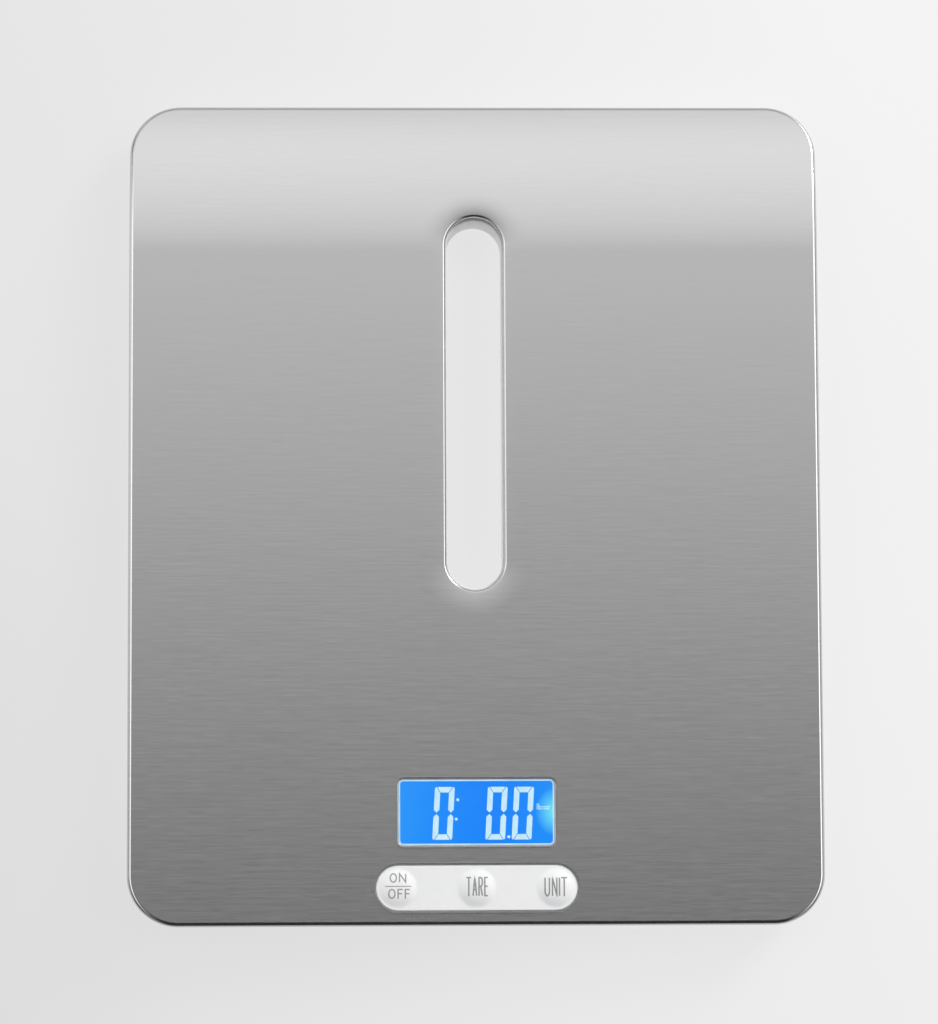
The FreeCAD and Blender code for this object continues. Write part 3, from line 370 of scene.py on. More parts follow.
def make_cover(material):
    """The steel sheet: four rolled rims, and the plate filled in between them."""
    skin = Skin()
    edge, edge_out = outline(HALF_WIDTH, HALF_LENGTH, CORNER)
    slot_middle = (SLOT_NEAR + SLOT_FAR) / 2
    slot, slot_out = outline(
        SLOT_HALF, (SLOT_FAR - SLOT_NEAR) / 2, SLOT_HALF - ROUND_END, slot_middle, 2.0, 5.0
    )
    window, window_out = outline(*(WINDOW_HALF + GAP), WINDOW_CORNER + GAP, WINDOW_MIDDLE, 2.5, 15.0)
    pad, pad_out = outline(*(PAD_HALF + GAP), PAD_HALF[1] + GAP - ROUND_END, PAD_MIDDLE, 2.5, 6.0)
    edge_rim = rolled_rim(skin, edge, edge_out, EDGE_ROLL, SKIRT)
    slot_rim = rolled_rim(skin, slot, -slot_out, SLOT_ROLL, SLOT_FLANGE, 6)
    window_rim = rolled_rim(skin, window, -window_out, WINDOW_RIM_ROLL, TOP - STEEL, 3)
    pad_rim = rolled_rim(skin, pad, -pad_out, PAD_RIM_ROLL, TOP - STEEL, 3)
    xs = np.arange(-HALF_WIDTH + GRID_START, HALF_WIDTH - GRID_STOP, GRID_PITCH)
    ys = np.concatenate([
        np.arange(-HALF_LENGTH + GRID_START, FALL_START - 1, GRID_PITCH),
        np.arange(FALL_START, HALF_LENGTH - GRID_STOP, GRID_FALL_PITCH),
    ])
    grid = np.array([(x, y) for y in ys for x in xs])
    kept = slot_distance(grid[:, 0], grid[:, 1]) > SLOT_BAND
    for loop, within in ((edge_rim, True), (window_rim, False), (pad_rim, False)):
        gap = np.linalg.norm(grid[:, None, :] - loop[None, :, :], axis=2).min(1)
        kept &= (gap > GRID_CLEAR) & (inside(grid, loop) == within)
    extra = [stretch(slot, slot_out, distance) for distance in SLOT_RINGS] + [grid[kept]]
    flat, faces = filled(edge_rim, [slot_rim, window_rim, pad_rim], extra)
    x, y = flat[:, 0], flat[:, 1]
    skin.add(np.column_stack([flat, plate_height(x, y)]), plate_normal(x, y), faces)
    return skin.build("steel_cover", material)


# ---------------------------------------------------------------- materials

def srgb(red, green, blue):
    """Linear colour from the usual 0 to 255 values."""
    def linear(c):
        c = c / 255
        return c / 12.92 if c <= 0.04045 else ((c + 0.055) / 1.055) ** 2.4
    return (linear(red), linear(green), linear(blue), 1.0)


class Nodes:
    """A node tree, with short calls for the nodes that the surfaces and the studio use."""

    def __init__(self, tree):
        self.tree = tree

    def node(self, kind, inputs=None, **settings):
        made = self.tree.nodes.new("ShaderNode" + kind)
        for key, value in settings.items():
            setattr(made, key, value)
        for key, value in (inputs or {}).items():
            if hasattr(value, "is_output"):
                self.tree.links.new(value, made.inputs[key])
            else:
                made.inputs[key].default_value = value
        return made

    def place(self, scale=(1, 1, 1), output="Object"):
        """Texture position in metres, stretched by scale."""
        coordinates = self.node("TexCoord")
        mapping = self.node("Mapping", {"Vector": coordinates.outputs[output], "Scale": scale})
        return mapping.outputs["Vector"]

    def noise(self, where, scale, detail=3.0, roughness=0.5):
        inputs = {"Vector": where, "Scale": scale, "Detail": detail, "Roughness": roughness}
        return self.node("TexNoise", inputs).outputs["Fac"]

    def ramp(self, value, *stops):
        made = self.node("ValToRGB", {"Fac": value})
        marks = made.color_ramp.elements
        while len(marks) < len(stops):
            marks.new(0.5)
        for mark, (position, colour) in zip(marks, stops):
            mark.position = position
            mark.color = colour
        return made.outputs["Color"]

    def between(self, value, low, high, source=(0.3, 0.7)):
        inputs = {"Value": value, "From Min": source[0], "From Max": source[1], "To Min": low, "To Max": high}
        return self.node("MapRange", inputs).outputs["Result"]

    def math(self, operation, a, b=0.0):
        return self.node("Math", {0: a, 1: b}, operation=operation).outputs["Value"]

    def plus(self, a, b, share):
        """a plus a share of b."""
        return self.node("Math", {0: b, 1: share, 2: a}, operation="MULTIPLY_ADD").outputs["Value"]

    def mix(self, factor, a, b, blend="MIX"):
        """Colour a blended with colour b by a factor."""
        inputs = {"Factor": factor, "A": a, "B": b}
        return self.node("Mix", inputs, data_type="RGBA", blend_type=blend).outputs["Result"]

    def axes(self, vector):
        """The X, Y and Z of a vector."""
        return self.node("SeparateXYZ", {"Vector": vector}).outputs


class Material(Nodes):
    """A material with one Principled shader."""

    def __init__(self, name, **sockets):
        self.material = bpy.data.materials.new(name)
        self.material.use_nodes = True
        super().__init__(self.material.node_tree)
        self.shader = self.tree.nodes["Principled BSDF"]
        for socket, value in sockets.items():
            self.shader.inputs[socket.replace("_", " ")].default_value = value

    def into(self, socket, value):
        self.tree.links.new(value, self.shader.inputs[socket])

    def bump(self, height, strength, distance):
        inputs = {"Height": height, "Strength": strength, "Distance": distance}
        self.into("Normal", self.node("Bump", inputs).outputs["Normal"])


def grey(value):
    return (value, value, value, 1.0)


def moulded(name, dark, light, rough, grain=2200, strength=0.25, depth=0.00003,
            stretch_by=(1, 1, 1), **sockets):
    """Plastic, rubber or plain metal: cloudy tint, uneven gloss and a fine surface grain."""
    made = Material(name, **sockets)
    where = made.place(stretch_by)
    cloud = made.noise(where, 60, 4)
    fine = made.noise(where, grain, 2, 0.6)
    mixed = made.plus(cloud, fine, 0.5)
    made.into("Base Color", made.ramp(mixed, (0.55, dark), (0.95, light)))
    made.into("Roughness", made.between(fine, rough[0], rough[1]))
    made.bump(fine, strength, depth)
    return made.material


# Brush lines: how often the steel's noises repeat per metre, across and along the lines.
HAIR_SCALE = (5200, 190, 1)
LINE_SCALE = (1900, 45, 1)
CLOUD_SCALE = (60, 12, 1)
LINES_MIDDLE = 0.9
CONTRAST_NEAR, CONTRAST_FAR = 1.5, 0.75
CONTRAST_RUN = (-0.06, 0.06)
SPOT_SCALE = 21.0
SPOT_EDGE = (0.002, 0.004)


def brushed_steel():
    """Steel with brush lines across the width; the lines' contrast falls along the plate."""
    made = Material("brushed_steel", Metallic=1.0, Anisotropic=0.85)
    hair = made.noise(made.place(HAIR_SCALE, "UV"), 1.0, 2, 0.6)
    line = made.noise(made.place(LINE_SCALE, "UV"), 1.0, 3, 0.6)
    lines = made.plus(hair, line, 0.8)
    along = made.axes(made.place((1, 1, 1), "UV"))["X"]
    depth = made.between(along, CONTRAST_NEAR, CONTRAST_FAR, CONTRAST_RUN)
    contrast = made.math("MULTIPLY", made.math("SUBTRACT", lines, LINES_MIDDLE), depth)
    cloud = made.noise(made.place(CLOUD_SCALE, "UV"), 1.0, 2)
    shade = made.math("ADD", made.plus(contrast, cloud, 0.12), 0.4)
    tone = made.ramp(shade, (0.0, grey(0.565)), (1.0, grey(0.665)))
    cells = made.node("TexVoronoi", {"Vector": made.place((1, 1, 1), "UV"), "Scale": SPOT_SCALE})
    spot = made.between(cells.outputs["Distance"], 1.0, 0.0, SPOT_EDGE)
    made.into("Base Color", made.mix(spot, tone, grey(1.0)))
    made.into("Roughness", made.between(lines, 0.175, 0.21, (0.55, 1.25)))
    made.bump(lines, 0.03, 0.00001)
    tangent = made.node("Tangent", direction_type="UV_MAP", uv_map="grain")
    made.into("Tangent", tangent.outputs["Tangent"])
    return made.material


# The display's bright spot: its middle, and one over its half sizes, in metres.
GLOW_MIDDLE = (0.0214, -0.0823)
GLOW_SCALE = (190, 150)
DISPLAY_RUN = (-0.021, 0.021)


def display_face():
    """The back-lit blue glass, lighter at the left and in a spot at the right."""
    made = Material("display_face", Roughness=0.25, Emission_Strength=1.0, Specular_IOR_Level=0.2)
    where = made.place((1, 1, 1))
    across = made.between(made.axes(where)["X"], 0.0, 1.0, DISPLAY_RUN)
    cloud = made.noise(where, 90, 2)
    sweep = made.ramp(
        made.plus(across, cloud, 0.12), (0.0, srgb(34, 154, 255)), (0.3, srgb(14, 142, 255)),
        (0.62, srgb(2, 134, 255)), (0.85, srgb(4, 138, 255)), (1.0, srgb(10, 144, 255)),
    )
    shift = tuple(-middle * scale for middle, scale in zip(GLOW_MIDDLE, GLOW_SCALE))
    spot = made.node("Mapping", {"Vector": where, "Location": (*shift, 0), "Scale": (*GLOW_SCALE, 0)})
    glow = made.node("TexGradient", {"Vector": spot.outputs["Vector"]}, gradient_type="SPHERICAL")
    made.into("Emission Color", made.mix(glow.outputs["Fac"], sweep, srgb(118, 242, 248)))
    dark = made.ramp(cloud, (0.3, (0.002, 0.006, 0.02, 1)), (0.7, (0.003, 0.01, 0.03, 1)))
    made.into("Base Color", dark)
    return made.material


def lit_segments():
    made = Material("lit_segments", Roughness=0.4, Emission_Strength=1.0)
    cloud = made.noise(made.place(), 400, 3)
    made.into("Emission Color", made.ramp(cloud, (0.3, srgb(190, 232, 250)), (0.7, srgb(206, 241, 252))))
    made.into("Base Color", made.ramp(cloud, (0.3, grey(0.04)), (0.7, grey(0.06))))
    return made.material


def clear_window():
    made = Material("clear_window", IOR=1.49, Transmission_Weight=1.0)
    smear = made.noise(made.place(), 120, 3)
    made.into("Base Color", made.ramp(smear, (0.3, (0.97, 0.985, 1, 1)), (0.7, (1, 1, 1, 1))))
    made.into("Roughness", made.between(smear, 0.0, 0.03))
    return made.material


def window_edge_painted_glow():
    """The window's frosted edge, with painted light: a pale blue glow of its own that stands in for the
    display's light caught in the edge.
    """
    made = Material("window_edge_painted_glow", Roughness=0.4, Emission_Strength=0.85, IOR=1.49)
    cloud = made.noise(made.place(), 160, 3)
    # Painted light: the edge glows pale blue by itself in place of light from the display.
    made.into("Emission Color", made.ramp(cloud, (0.35, srgb(172, 214, 240)), (0.65, srgb(200, 230, 248))))
    made.into("Base Color", made.ramp(cloud, (0.3, grey(0.10)), (0.7, grey(0.14))))
    return made.material


def key_rubber():
    made = Material("key_rubber", Subsurface_Weight=0.08, Subsurface_Scale=0.002, Coat_Weight=0.08)
    where = made.place()
    cloud = made.noise(where, 120, 3)
    fine = made.noise(where, 5200, 2)
    made.into("Base Color", made.ramp(cloud, (0.3, grey(0.91)), (0.7, grey(0.94))))
    made.into("Roughness", made.between(fine, 0.34, 0.46))
    made.bump(fine, 0.08, 0.00001)
    return made.material


def battery_sleeve():
    """A printed sleeve with a coloured band, and bare metal at both ends."""
    made = Material("battery_sleeve", Coat_Weight=0.4)
    where = made.place()
    fine = made.noise(where, 900, 3)
    along = made.between(made.axes(where)["X"], 0.0, 1.0, (-0.0232, 0.0232))
    dark, band, metal = (0.012, 0.013, 0.016, 1), (0.55, 0.22, 0.04, 1), (0.6, 0.6, 0.6, 1)
    colours = made.ramp(
        made.plus(along, fine, 0.01),
        (0.0, metal), (0.055, dark), (0.35, band), (0.42, dark), (0.945, metal),
    )
    colours.node.color_ramp.interpolation = "CONSTANT"
    made.into("Base Color", colours)
    made.into("Roughness", made.between(fine, 0.25, 0.4))
    return made.material


MATERIALS = {
    "brushed_steel": brushed_steel(),
    "tape": moulded("tape", (0.62, 0.6, 0.52, 1), (0.74, 0.72, 0.64, 1), (0.7, 0.9), 3000, 0.6, 0.0001),
    "white_shell": moulded("white_shell", grey(0.80), grey(0.86), (0.42, 0.58), 2600, 0.22, 0.00004),
    "white_gloss": moulded(
        "white_gloss", (0.78, 0.765, 0.765, 1), (0.84, 0.825, 0.825, 1), (0.32, 0.42), 1500, 0.02, 0.00001),
    "plated_steel": moulded(
        "plated_steel", grey(0.58), grey(0.72), (0.18, 0.34), 1800, 0.15, 0.00002, Metallic=1.0),
    "clear_window": clear_window(),
    "display_glass": display_face(),
    "light_guide": moulded("light_guide", (0.6, 0.75, 0.95, 1), (0.72, 0.84, 1, 1), (0.2, 0.35), 800, 0.1),
    "contact_rubber": moulded(
        "contact_rubber", grey(0.04), grey(0.12), (0.6, 0.8), 900, 0.3, 0.00005, (12, 1, 1)),
    "key_rubber": key_rubber(),
    "circuit_board": moulded(
        "circuit_board", (0.01, 0.13, 0.04, 1), (0.02, 0.22, 0.07, 1), (0.25, 0.4), 700, 0.25, 0.00003),
    "black_plastic": moulded("black_plastic", grey(0.012), grey(0.03), (0.4, 0.6), 2600, 0.3),
    "aluminium_can": moulded("aluminium_can", grey(0.7), grey(0.84), (0.22, 0.36), 900, 0.1, Metallic=1.0),
    "socket_plastic": moulded(
        "socket_plastic", (0.72, 0.7, 0.6, 1), (0.82, 0.8, 0.7, 1), (0.35, 0.5), 2000, 0.2),
    "battery_sleeve": battery_sleeve(),
    "lead_insulation": moulded(
        "lead_insulation", (0.42, 0.015, 0.012, 1), (0.55, 0.03, 0.025, 1), (0.35, 0.5), 2000, 0.2),
    "gauge_film": moulded("gauge_film", (0.5, 0.25, 0.06, 1), (0.65, 0.36, 0.1, 1), (0.3, 0.45), 1500, 0.2),
    "spring_steel": moulded(
        "spring_steel", grey(0.42), grey(0.55), (0.3, 0.45), 500, 0.2, 0.00002, (1, 8, 1), Metallic=1.0),
    "foot_rubber": moulded("foot_rubber", grey(0.03), grey(0.055), (0.7, 0.9), 2400, 0.5, 0.00006),
}

slot_of = {part["node"]: part["material_slot"] for part in frame["record"]["subparts"]}
for name, node in nodes.items():
    node.data.materials.clear()
    node.data.materials.append(MATERIALS[slot_of[name]])


def settle(piece, slot, *replaced, body=ROOT):
    """Attaches a piece to its body and hides the CAD nodes it stands for; slot, the material slot, is not
    used.
    """
    if body:
        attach(piece, body)
    if replaced:
        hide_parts(*replaced)
    return piece


settle(make_cover(MATERIALS["brushed_steel"]), "brushed_steel", "top_cover")


def make_sleeve(material):
    """The white wall of the slot: a soft upper lip, the wall, and the lower edge."""
    skin = Skin()
    loop, out = outline(
        SLEEVE_HALF, (SLEEVE_FAR - SLEEVE_NEAR) / 2, SLEEVE_HALF - ROUND_END,
        (SLEEVE_NEAR + SLEEVE_FAR) / 2, 2.0, 5.0,
    )
    side = sideways(-out)
    up = upward(loop)
    outer = stretch(loop, out, SLEEVE_WALL)
    rings, normals = [level(outer, SLEEVE_TOP)], [up]
    for k in range(6):
        a = math.radians(18 * k)
        rings.append(level(stretch(loop, out, LIP * (1 - math.sin(a))), SLEEVE_TOP - LIP * (1 - math.cos(a))))
        normals.append(math.cos(a) * up + math.sin(a) * side)
    for k in range(6):
        a = math.radians(18 * k)
        rings.append(level(stretch(loop, out, LIP * (1 - math.cos(a))), SLEEVE_LOW + LIP * (1 - math.sin(a))))
        normals.append(math.cos(a) * side - math.sin(a) * up)
    rings.append(level(outer, SLEEVE_LOW))
    normals.append(-up)
    skin.rings(rings, normals)
    skin.rings([level(outer, SLEEVE_LOW), level(outer, SLEEVE_TOP)], [-side, -side])
    return skin.build("slot_sleeve", material)


settle(make_sleeve(MATERIALS["white_gloss"]), "white_gloss", "slot_liner")


# ---------------------------------------------------------------- display

def rounded_block(skin, half, radius, middle, top, bottom, roll, steps=4, edge_slot=0):
    """A flat-topped block with a rolled top edge; open below."""
    loop, out = outline(*half, radius, middle, 99.0, 10.0)
    rings, normals = rolled_top(loop, out, top, bottom, roll, steps)
    skin.rings(rings, normals, slot=edge_slot)
    skin.lid(rings[0], (0, 0, 1))
    return loop


def make_window(material):
    skin = Skin()
    ledge_top = TOP - STEEL - 0.3
    wide, wide_out = outline(*(WINDOW_HALF + WINDOW_LEDGE), WINDOW_CORNER, WINDOW_MIDDLE, 99.0, 10.0)
    loop = rounded_block(
        skin, WINDOW_HALF, WINDOW_CORNER, WINDOW_MIDDLE, window_high[2], ledge_top, WINDOW_ROLL,
        edge_slot=1,
    )
    up = upward(loop)
    skin.rings([level(loop, ledge_top), level(wide, ledge_top)], [up, up])
    side = sideways(wide_out)
    skin.rings([level(wide, ledge_top), level(wide, window_low[2])], [side, side])
    skin.lid(level(wide, window_low[2]), (0, 0, -1))
    # The lens's rolled edge (slot 1) takes the painted glow.
    return skin.build("window_lens", material, window_edge_painted_glow())


def make_lcd(material):
    skin = Skin()
    half = (lcd_high - lcd_low)[:2] / 2
    middle = (lcd_high[1] + lcd_low[1]) / 2
    loop = rounded_block(skin, half, 0.4, middle, lcd_high[2], lcd_low[2], 0.1, 2)
    skin.lid(level(loop, lcd_low[2]), (0, 0, -1))
    return skin.build("lcd_glass", material)


DIGIT_WIDTH = 5.4
DIGIT_HEIGHT = 14.35
STROKE = 1.5
LEAN = 0.056
DIGIT_LOW = WINDOW_MIDDLE - 7.4
DIGITS = (-12.03, 2.41, 9.6)


def zero_segments():
    """The six lit segments of a 0, with mitred ends, as flat outlines."""
    w, h, t, gap = DIGIT_WIDTH, DIGIT_HEIGHT, STROKE, 0.09
    bar = [(0.55 + gap, h), (w - 0.55 - gap, h), (w - t - gap, h - t), (t + gap, h - t)]
    post = [
        (0.5 - gap, h), (0.14, h - 0.14), (0, h - 0.55), (0, h / 2 + 0.95), (t * 0.5, h / 2 + 0.2),
        (t, h / 2 + 0.95), (t, h - t - 2 * gap),
    ]
    shapes = [bar, post]
    shapes.append([(w - x, y) for x, y in post])
    return shapes + [[(x, h - y) for x, y in shape] for shape in shapes]


def disc(x, y, radius, count=24):
    return [
        (x + radius * math.cos(2 * math.pi * i / count), y + radius * math.sin(2 * math.pi * i / count))
        for i in range(count)
    ]


def ribbon(points, width, closed=False):
    """Left and right edges of a stroke along a line, as quads."""
    line = np.array(points, float)
    count = len(line)
    ahead = np.roll(line, -1, axis=0) - line
    behind = line - np.roll(line, 1, axis=0)
    if not closed:
        ahead[-1] = behind[-1]
        behind[0] = ahead[0]
    ahead /= np.linalg.norm(ahead, axis=1, keepdims=True)
    behind /= np.linalg.norm(behind, axis=1, keepdims=True)
    across = np.column_stack([-(ahead + behind)[:, 1], (ahead + behind)[:, 0]])
    across /= np.linalg.norm(across, axis=1, keepdims=True)
    straight = np.column_stack([-ahead[:, 1], ahead[:, 0]])
    reach = width / 2 / np.maximum((across * straight).sum(1, keepdims=True), 0.35)
    left, right = line + across * reach, line - across * reach
    return [
        [tuple(left[i]), tuple(left[(i + 1) % count]), tuple(right[(i + 1) % count]), tuple(right[i])]
        for i in range(count if closed else count - 1)
    ]


def inked(name, shapes, height, thickness, material):
    """Flat outlines laid on a surface and given a little thickness."""
    points, faces, walls = [], [], []
    for shape in shapes:
        area = sum(a[0] * b[1] - b[0] * a[1] for a, b in zip(shape, shape[1:] + shape[:1]))
        shape = shape if area > 0 else shape[::-1]
        first = len(points)
        count = len(shape)
        xy = np.array(shape)
        z = height(xy[:, 0], xy[:, 1])
        points += [Vector((x, y, top + thickness)) * MM for (x, y), top in zip(xy, z)]
        points += [Vector((x, y, top - thickness)) * MM for (x, y), top in zip(xy, z)]
        faces.append(list(range(first, first + count)))
        faces.append(list(range(first + 2 * count - 1, first + count - 1, -1)))
        for i in range(count):
            j = (i + 1) % count
            walls.append([first + i, first + count + i, first + count + j, first + j])
    mesh = bpy.data.meshes.new(name)
    mesh.from_pydata(points, [], faces + walls)
    mesh.materials.append(material)
    piece = bpy.data.objects.new(name, mesh)
    bpy.context.scene.collection.objects.link(piece)
    return piece


def make_readout(material):
    shapes = []
    for left in DIGITS:
        shapes += [[(left + x + LEAN * y, DIGIT_LOW + y) for x, y in shape] for shape in zero_segments()]
    shapes.append(disc(-5.03, DIGIT_LOW + 10.87, 0.4))
    shapes.append(disc(-5.48, DIGIT_LOW + 5.62, 0.4))
    shapes.append(disc(8.83, DIGIT_LOW + 0.76, 0.42))
    x, y, h = 16.6, DIGIT_LOW + 8.15, 1.65
    thin = 0.2

    def bowl(cx, cy, r=0.36, ry=0.42, start=0, end=360):
        count = 14
        turn = [math.radians(start + (end - start) * i / count) for i in range(count)]
        return [(cx + r * math.cos(a), cy + ry * math.sin(a)) for a in turn]

    shapes += ribbon([(x, y), (x, y + h)], thin)
    shapes += ribbon([(x + 0.45, y), (x + 0.45, y + h)], thin)
    shapes += ribbon(bowl(x + 0.85, y + 0.45), thin, True)
    shapes += [disc(x + 1.55, y + 0.15, 0.12, 10), disc(x + 1.55, y + 0.8, 0.12, 10)]
    shapes += ribbon(bowl(x + 2.2, y + 0.45), thin, True)
    left, right, high, low = x + 2.75, x + 3.4, y + 0.85, y + 0.08
    shapes += ribbon([(left, high), (right, high), (left, low), (right, low)], thin)

    def surface(xs, ys):
        return np.full(len(xs), lcd_high[2])
    return inked("lit_digits", shapes, surface, 0.02, material)


settle(make_window(MATERIALS["clear_window"]), "clear_window", "display_window")
settle(make_lcd(MATERIALS["display_glass"]), "display_glass", "lcd_panel")
settle(make_readout(lit_segments()), "display_glass")


# ---------------------------------------------------------------- key pad

def dome(distance):
    """Height of a key's soft crown above the pad, by distance from its middle."""
    t = np.clip(distance / DOME_RADIUS, 0, 1)
    return KEY_CROWN * (1 - t ** 3.6) ** 2


def pad_height(x, y):
    height = np.full(np.shape(x), PAD_TOP)
    for side in KEYS.values():
        height = height + dome(np.hypot(x - side * KEY_PITCH, y - PAD_MIDDLE))
    return height


def circle(radius, centre, count=72):
    turn = np.arange(count) * 2 * math.pi / count
    outward = np.column_stack([np.cos(turn), np.sin(turn)])
    return outward * radius + np.array(centre), outward


def make_pad(material):
    """The white rubber skin between the keys, with its rolled edge and its hidden flange."""
    skin = Skin()
    loop, out = outline(*PAD_HALF, PAD_HALF[1] - ROUND_END, PAD_MIDDLE, 1.5, 5.0)
    side, up = sideways(out), upward(loop)
    flange = stretch(loop, out, PAD_FLANGE)
    flange_top = TOP - STEEL - 0.1
    skin.rings(*rolled_top(loop, out, PAD_TOP, flange_top, PAD_ROLL, 5))
    skin.rings([level(loop, flange_top), level(flange, flange_top)], [up, up])
    skin.rings([level(flange, flange_top), level(flange, pad_low[2])], [side, side])
    skin.lid(level(flange, pad_low[2]), (0, 0, -1))
    holes = [circle(DOME_RADIUS, (place * KEY_PITCH, PAD_MIDDLE))[0] for place in KEYS.values()]
    flat, faces = filled(stretch(loop, out, -PAD_ROLL), holes)
    skin.add(level(flat, PAD_TOP), (0, 0, 1), faces)
    return skin.build("pad_skin", material)


def make_dome(name, centre, material):
    """One key: a soft crown that grows out of the pad."""
    skin = Skin()
    radii = DOME_RADIUS * np.concatenate([np.linspace(1, 0.5, 16), np.linspace(0.45, 0.05, 8)])
    rings, normals = [], []
    for radius in radii:
        loop, _ = circle(radius, centre)
        rings.append(np.column_stack([loop, pad_height(loop[:, 0], loop[:, 1])]))
        normals.append(surface_normal(pad_height, loop[:, 0], loop[:, 1], DOME_NORMAL_STEP))
    skin.rings(rings, normals)
    skin.lid(rings[-1], (0, 0, 1))
    return skin.build(name, material)


def make_stem(name, centre, material):
    """The key's hidden foot, which meets the switch plunger."""
    skin = Skin()
    loop, out = circle(STEM_RADIUS, centre, 40)
    side = sideways(out)
    top = level(loop, PAD_TOP - 0.3)
    neck = level(loop, key_low[2] + STEM_CHAMFER)
    foot = level(stretch(loop, out, -STEM_CHAMFER), key_low[2])
    skin.rings([top, neck], [side, side])
    skin.rings([neck, foot], [side, -upward(loop)])
    skin.lid(foot, (0, 0, -1))
    skin.lid(top, (0, 0, 1))
    return skin.build(name, material)


def label_ink():
    made = Material("label_ink")
    where = made.place()
    fine = made.noise(where, 3000, 3)
    made.into("Base Color", made.ramp(fine, (0.3, grey(0.28)), (0.7, grey(0.34))))
    made.into("Roughness", made.between(fine, 0.5, 0.65))
    made.bump(fine, 0.1, 0.00001)
    return made.material


def arc(cx, cy, rx, ry, start, end, count=12):
    turn = [math.radians(start + (end - start) * i / count) for i in range(count + 1)]
    return [(cx + rx * math.cos(a), cy + ry * math.sin(a)) for a in turn]


def glyph(letter):
    """Strokes of a plain letter in a unit-high, unit-wide box: (points, closed)."""
    shapes = {
        "O": [(arc(0.5, 0.5, 0.5, 0.5, 0, 345, 23), True)],
        "N": [([(0, 0), (0, 1), (1, 0), (1, 1)], False)],
        "F": [([(0, -0.04), (0, 1), (1.1, 1)], False), ([(0, 0.52), (0.95, 0.52)], False)],
        "T": [([(-0.16, 1), (1.16, 1)], False), ([(0.5, 1), (0.5, -0.03)], False)],
        "A": [([(0, 0), (0.5, 1), (1, 0)], False), ([(0.18, 0.33), (0.82, 0.33)], False)],
        "R": [
            ([(0, 0), (0, 1), (0.5, 1)] + arc(0.55, 0.76, 0.45, 0.24, 90, -90, 10) + [(0, 0.52)], False),
            ([(0.5, 0.52), (1, 0)], False),
        ],
        "E": [([(1.1, 1), (0, 1), (0, 0), (1.1, 0)], False), ([(0, 0.52), (1, 0.52)], False)],
        "U": [([(0, 1), (0, 0.28)] + arc(0.5, 0.28, 0.5, 0.28, 180, 360, 10) + [(1, 1)], False)],
        "I": [([(0.5, 0), (0.5, 1)], False)],
    }
    return shapes[letter]


def word(text, left, right, low, high, stroke, gap, narrow):
    """A line of letters fitted between left and right."""
    widths = [0.12 if letter == "I" else narrow.get(letter, 1.0) for letter in text]
    unit = (right - left - gap * (len(text) - 1)) / sum(widths)
    shapes, x = [], left
    for letter, width in zip(text, widths):
        inset = stroke / 2
        for points, closed in glyph(letter):
            line = [
                (x + inset + p * (unit * width - stroke), low + inset + q * (high - low - stroke))
                for p, q in points
            ]
            fine = [line[0]]
            for a, b in zip(line, line[1:]):
                if math.dist(a, b) < 1e-6:
                    continue
                parts = max(1, int(math.dist(a, b) / 0.4))
                fine += [(a[0] + (b[0] - a[0]) * k / parts, a[1] + (b[1] - a[1]) * k / parts)
                         for k in range(1, parts + 1)]
            shapes += ribbon(fine, stroke, closed)
        x += unit * width + gap
    return shapes


# Each key's words: text; left, right, low and high from the key's middle; stroke, gap, narrow letters.
WORDS = {
    "on_off": (
        ("ON", -2.2, 2.35, 1.47, 4.09, 0.34, 0.5, {}),
        ("OFF", -2.6, 3.35, -2.87, -0.17, 0.34, 0.5, {"F": 0.72}),
    ),
    "tare": (("TARE", -2.9, 3.1, -2.3, 3.0, 0.40, 0.26, {"E": 0.85, "R": 0.95}),),
    "unit": (("UNIT", -3.2, 3.0, -2.42, 2.88, 0.40, 0.42, {}),),
}

ink = label_ink()
for name, place in KEYS.items():
    body = f"{name}_button"
    x = place * KEY_PITCH
    crown = make_dome(f"{name}_crown", (x, PAD_MIDDLE), MATERIALS["key_rubber"])
    settle(crown, "key_rubber", f"{name}_key", body=None)
    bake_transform(crown)
    stem = make_stem(f"{name}_stem", (x, PAD_MIDDLE), MATERIALS["key_rubber"])
    settle(stem, "key_rubber", body=body)
    marks = []
    for text, left, right, low, high, stroke, gap, narrow in WORDS[name]:
        marks += word(text, x + left, x + right, PAD_MIDDLE + low, PAD_MIDDLE + high, stroke, gap, narrow)
    if name == "on_off":
        line = [(x - 3.4 + 7.1 * k / 18, PAD_MIDDLE + 0.5) for k in range(19)]
        marks += ribbon(line, 0.24)
    label = inked(f"{name}_label", marks, pad_height, 0.015, ink)
    settle(label, "key_rubber", body=None)
    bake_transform(label)

settle(make_pad(MATERIALS["key_rubber"]), "key_rubber", "keypad")


# ---------------------------------------------------------------- floor, light and camera

FLOOR_HALF = 6.0


def plane(name, half):
    mesh = bpy.data.meshes.new(name)
    corners = [(-half, -half, 0), (half, -half, 0), (half, half, 0), (-half, half, 0)]
    mesh.from_pydata(corners, [], [(0, 1, 2, 3)])
    made = bpy.data.objects.new(name, mesh)
    bpy.context.scene.collection.objects.link(made)
    return made


def floor_finish():
    """A pale floor that gives off part of its own light, brighter to the right and far side."""
    made = Material("floor", Emission_Strength=0.80)
    where = made.place()
    mottle = made.noise(where, 3, 2)
    made.into("Base Color", made.ramp(mottle, (0.3, grey(0.09)), (0.7, grey(0.11))))
    spread = made.axes(where)
    sweep = made.plus(made.between(spread["X"], 0.0, 1.0, (-0.3, 0.3)), mottle, 0.1)
    deep = made.plus(sweep, made.between(spread["Y"], 0.0, 1.0, (-0.25, 0.25)), 0.3)
    glow = made.ramp(deep, (0.15, grey(0.60)), (0.5, grey(0.82)), (0.95, grey(0.95)))
    made.into("Emission Color", glow)
    made.into("Roughness", made.between(mottle, 0.5, 0.6))
    return made.material


floor = plane("floor", FLOOR_HALF)
floor.data.materials.append(floor_finish())


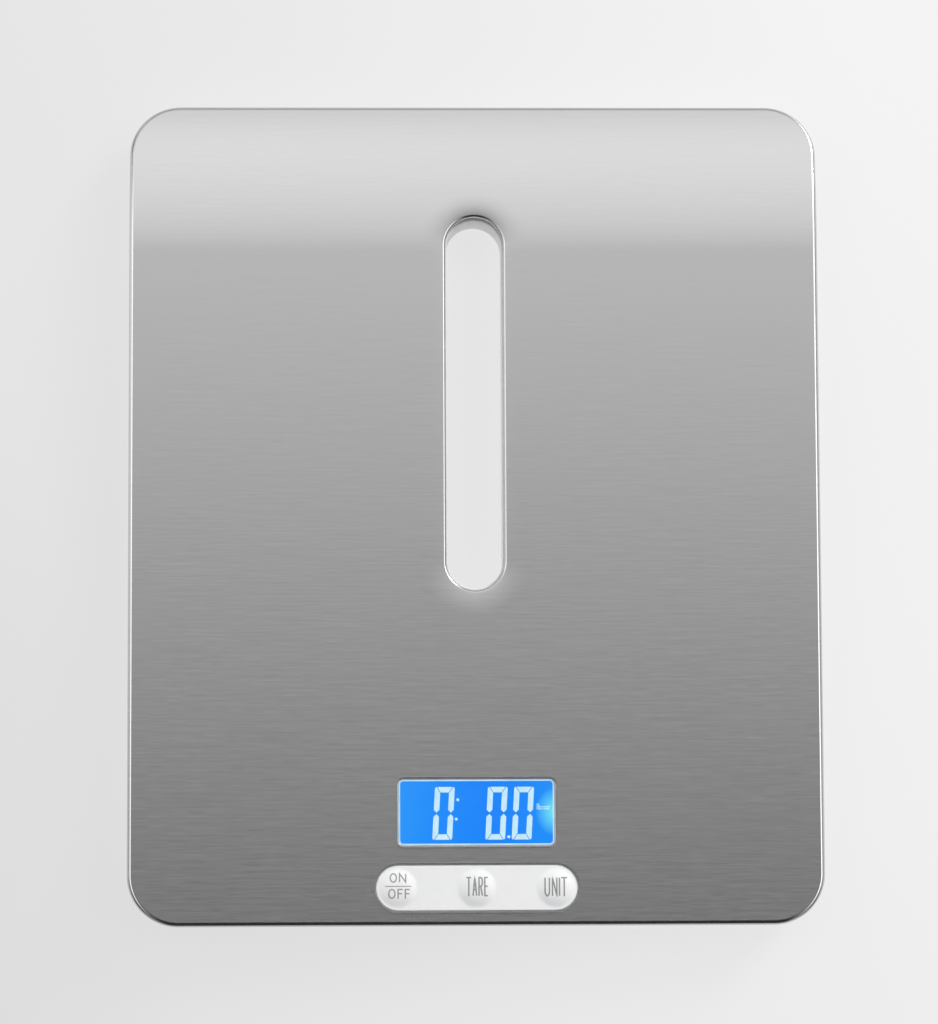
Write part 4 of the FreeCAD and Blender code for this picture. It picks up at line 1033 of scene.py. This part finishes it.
def area_light(name, place, aim, size, power):
    light = bpy.data.lights.new(name, "AREA")
    light.shape = "RECTANGLE"
    light.size, light.size_y = size
    light.energy = power
    made = bpy.data.objects.new(name, light)
    made.location = place
    made.rotation_euler = (Vector(aim) - Vector(place)).to_track_quat("-Z", "Y").to_euler()
    bpy.context.scene.collection.objects.link(made)


area_light("left_softbox", (-1.3, 0.3, 0.6), (0, 0, 0), (0.5, 1.4), 1.6)
area_light("right_softbox", (1.1, 0.95, 0.9), (0, 0, 0), (0.6, 0.6), 13.5)

# The studio: bright walls left and right, a ceiling that brightens towards the far side, a dim near side.
CEILING_PEAK = 1.7
CEILING = (
    (-90, 0.04), (-20, 0.02), (-6, 0.02), (0, 0.07), (3, 0.24), (8, 0.94), (14, 1.10), (22, 1.14),
    (27, 1.22), (33, 1.50), (37, 1.15), (42, 0.75), (60, 0.50), (90, 0.50),
)
WALL_PEAK = 3.0
WALLS = (
    (-1.0, 0.45), (-0.72, 0.45), (-0.62, 1.9), (-0.40, 1.9), (-0.28, 0.0), (0.28, 0.0), (0.40, 2.5),
    (0.62, 2.5), (0.72, 0.5), (1.0, 0.5),
)
STRIP_ENDS = ((-1.0, 0.08), (-0.45, 0.12), (-0.12, 1.0), (0.32, 1.0), (0.52, 0.4), (1.0, 0.35))
BACKDROP = (0.80, 0.81, 0.82, 1.0)
WALLS_START = (0.28, 0.42)


def light_studio():
    """A world whose brightness goes by direction; the camera itself sees a plain backdrop."""
    world = bpy.data.worlds.new("studio")
    world.use_nodes = True
    studio = Nodes(world.node_tree)
    toward = studio.axes(studio.node("TexCoord").outputs["Generated"])
    tilt = studio.math("ARCTAN2", toward["Y"], toward["Z"])
    ceiling = studio.ramp(
        studio.between(tilt, 0.0, 1.0, (-math.pi / 2, math.pi / 2)),
        *[((angle + 90) / 180, grey(value / CEILING_PEAK)) for angle, value in CEILING],
    )
    bright = studio.mix(1.0, ceiling, grey(CEILING_PEAK), "MULTIPLY")
    across = studio.between(toward["X"], 0.0, 1.0, (-1.0, 1.0))
    walls = studio.ramp(across, *[((x + 1) / 2, grey(value / WALL_PEAK)) for x, value in WALLS])
    strips = studio.mix(1.0, walls, grey(WALL_PEAK), "MULTIPLY")
    overhead = studio.between(studio.math("ABSOLUTE", toward["X"]), 0.0, 1.0, WALLS_START)
    ends = studio.ramp(
        studio.between(toward["Y"], 0.0, 1.0, (-1.0, 1.0)),
        *[((y + 1) / 2, grey(value)) for y, value in STRIP_ENDS],
    )
    faded = studio.mix(1.0, strips, ends, "MULTIPLY")
    room = studio.mix(overhead, bright, faded)
    seen = studio.mix(studio.node("LightPath").outputs["Is Camera Ray"], room, BACKDROP)
    studio.tree.links.new(seen, studio.tree.nodes["Background"].inputs["Color"])
    bpy.context.scene.world = world


light_studio()

camera = bpy.data.objects.new("camera", bpy.data.cameras.new("camera"))
camera.data.lens = 139.4
camera.data.sensor_width = 36.0
camera.location = (-0.0293, -0.1082, 1.1001)
camera.rotation_euler = (0.09945, -0.0251, -0.0043)
camera.data.clip_start = 0.05
camera.data.clip_end = 50.0
bpy.context.scene.collection.objects.link(camera)
bpy.context.scene.camera = camera
bpy.context.scene.view_settings.view_transform = "Standard"
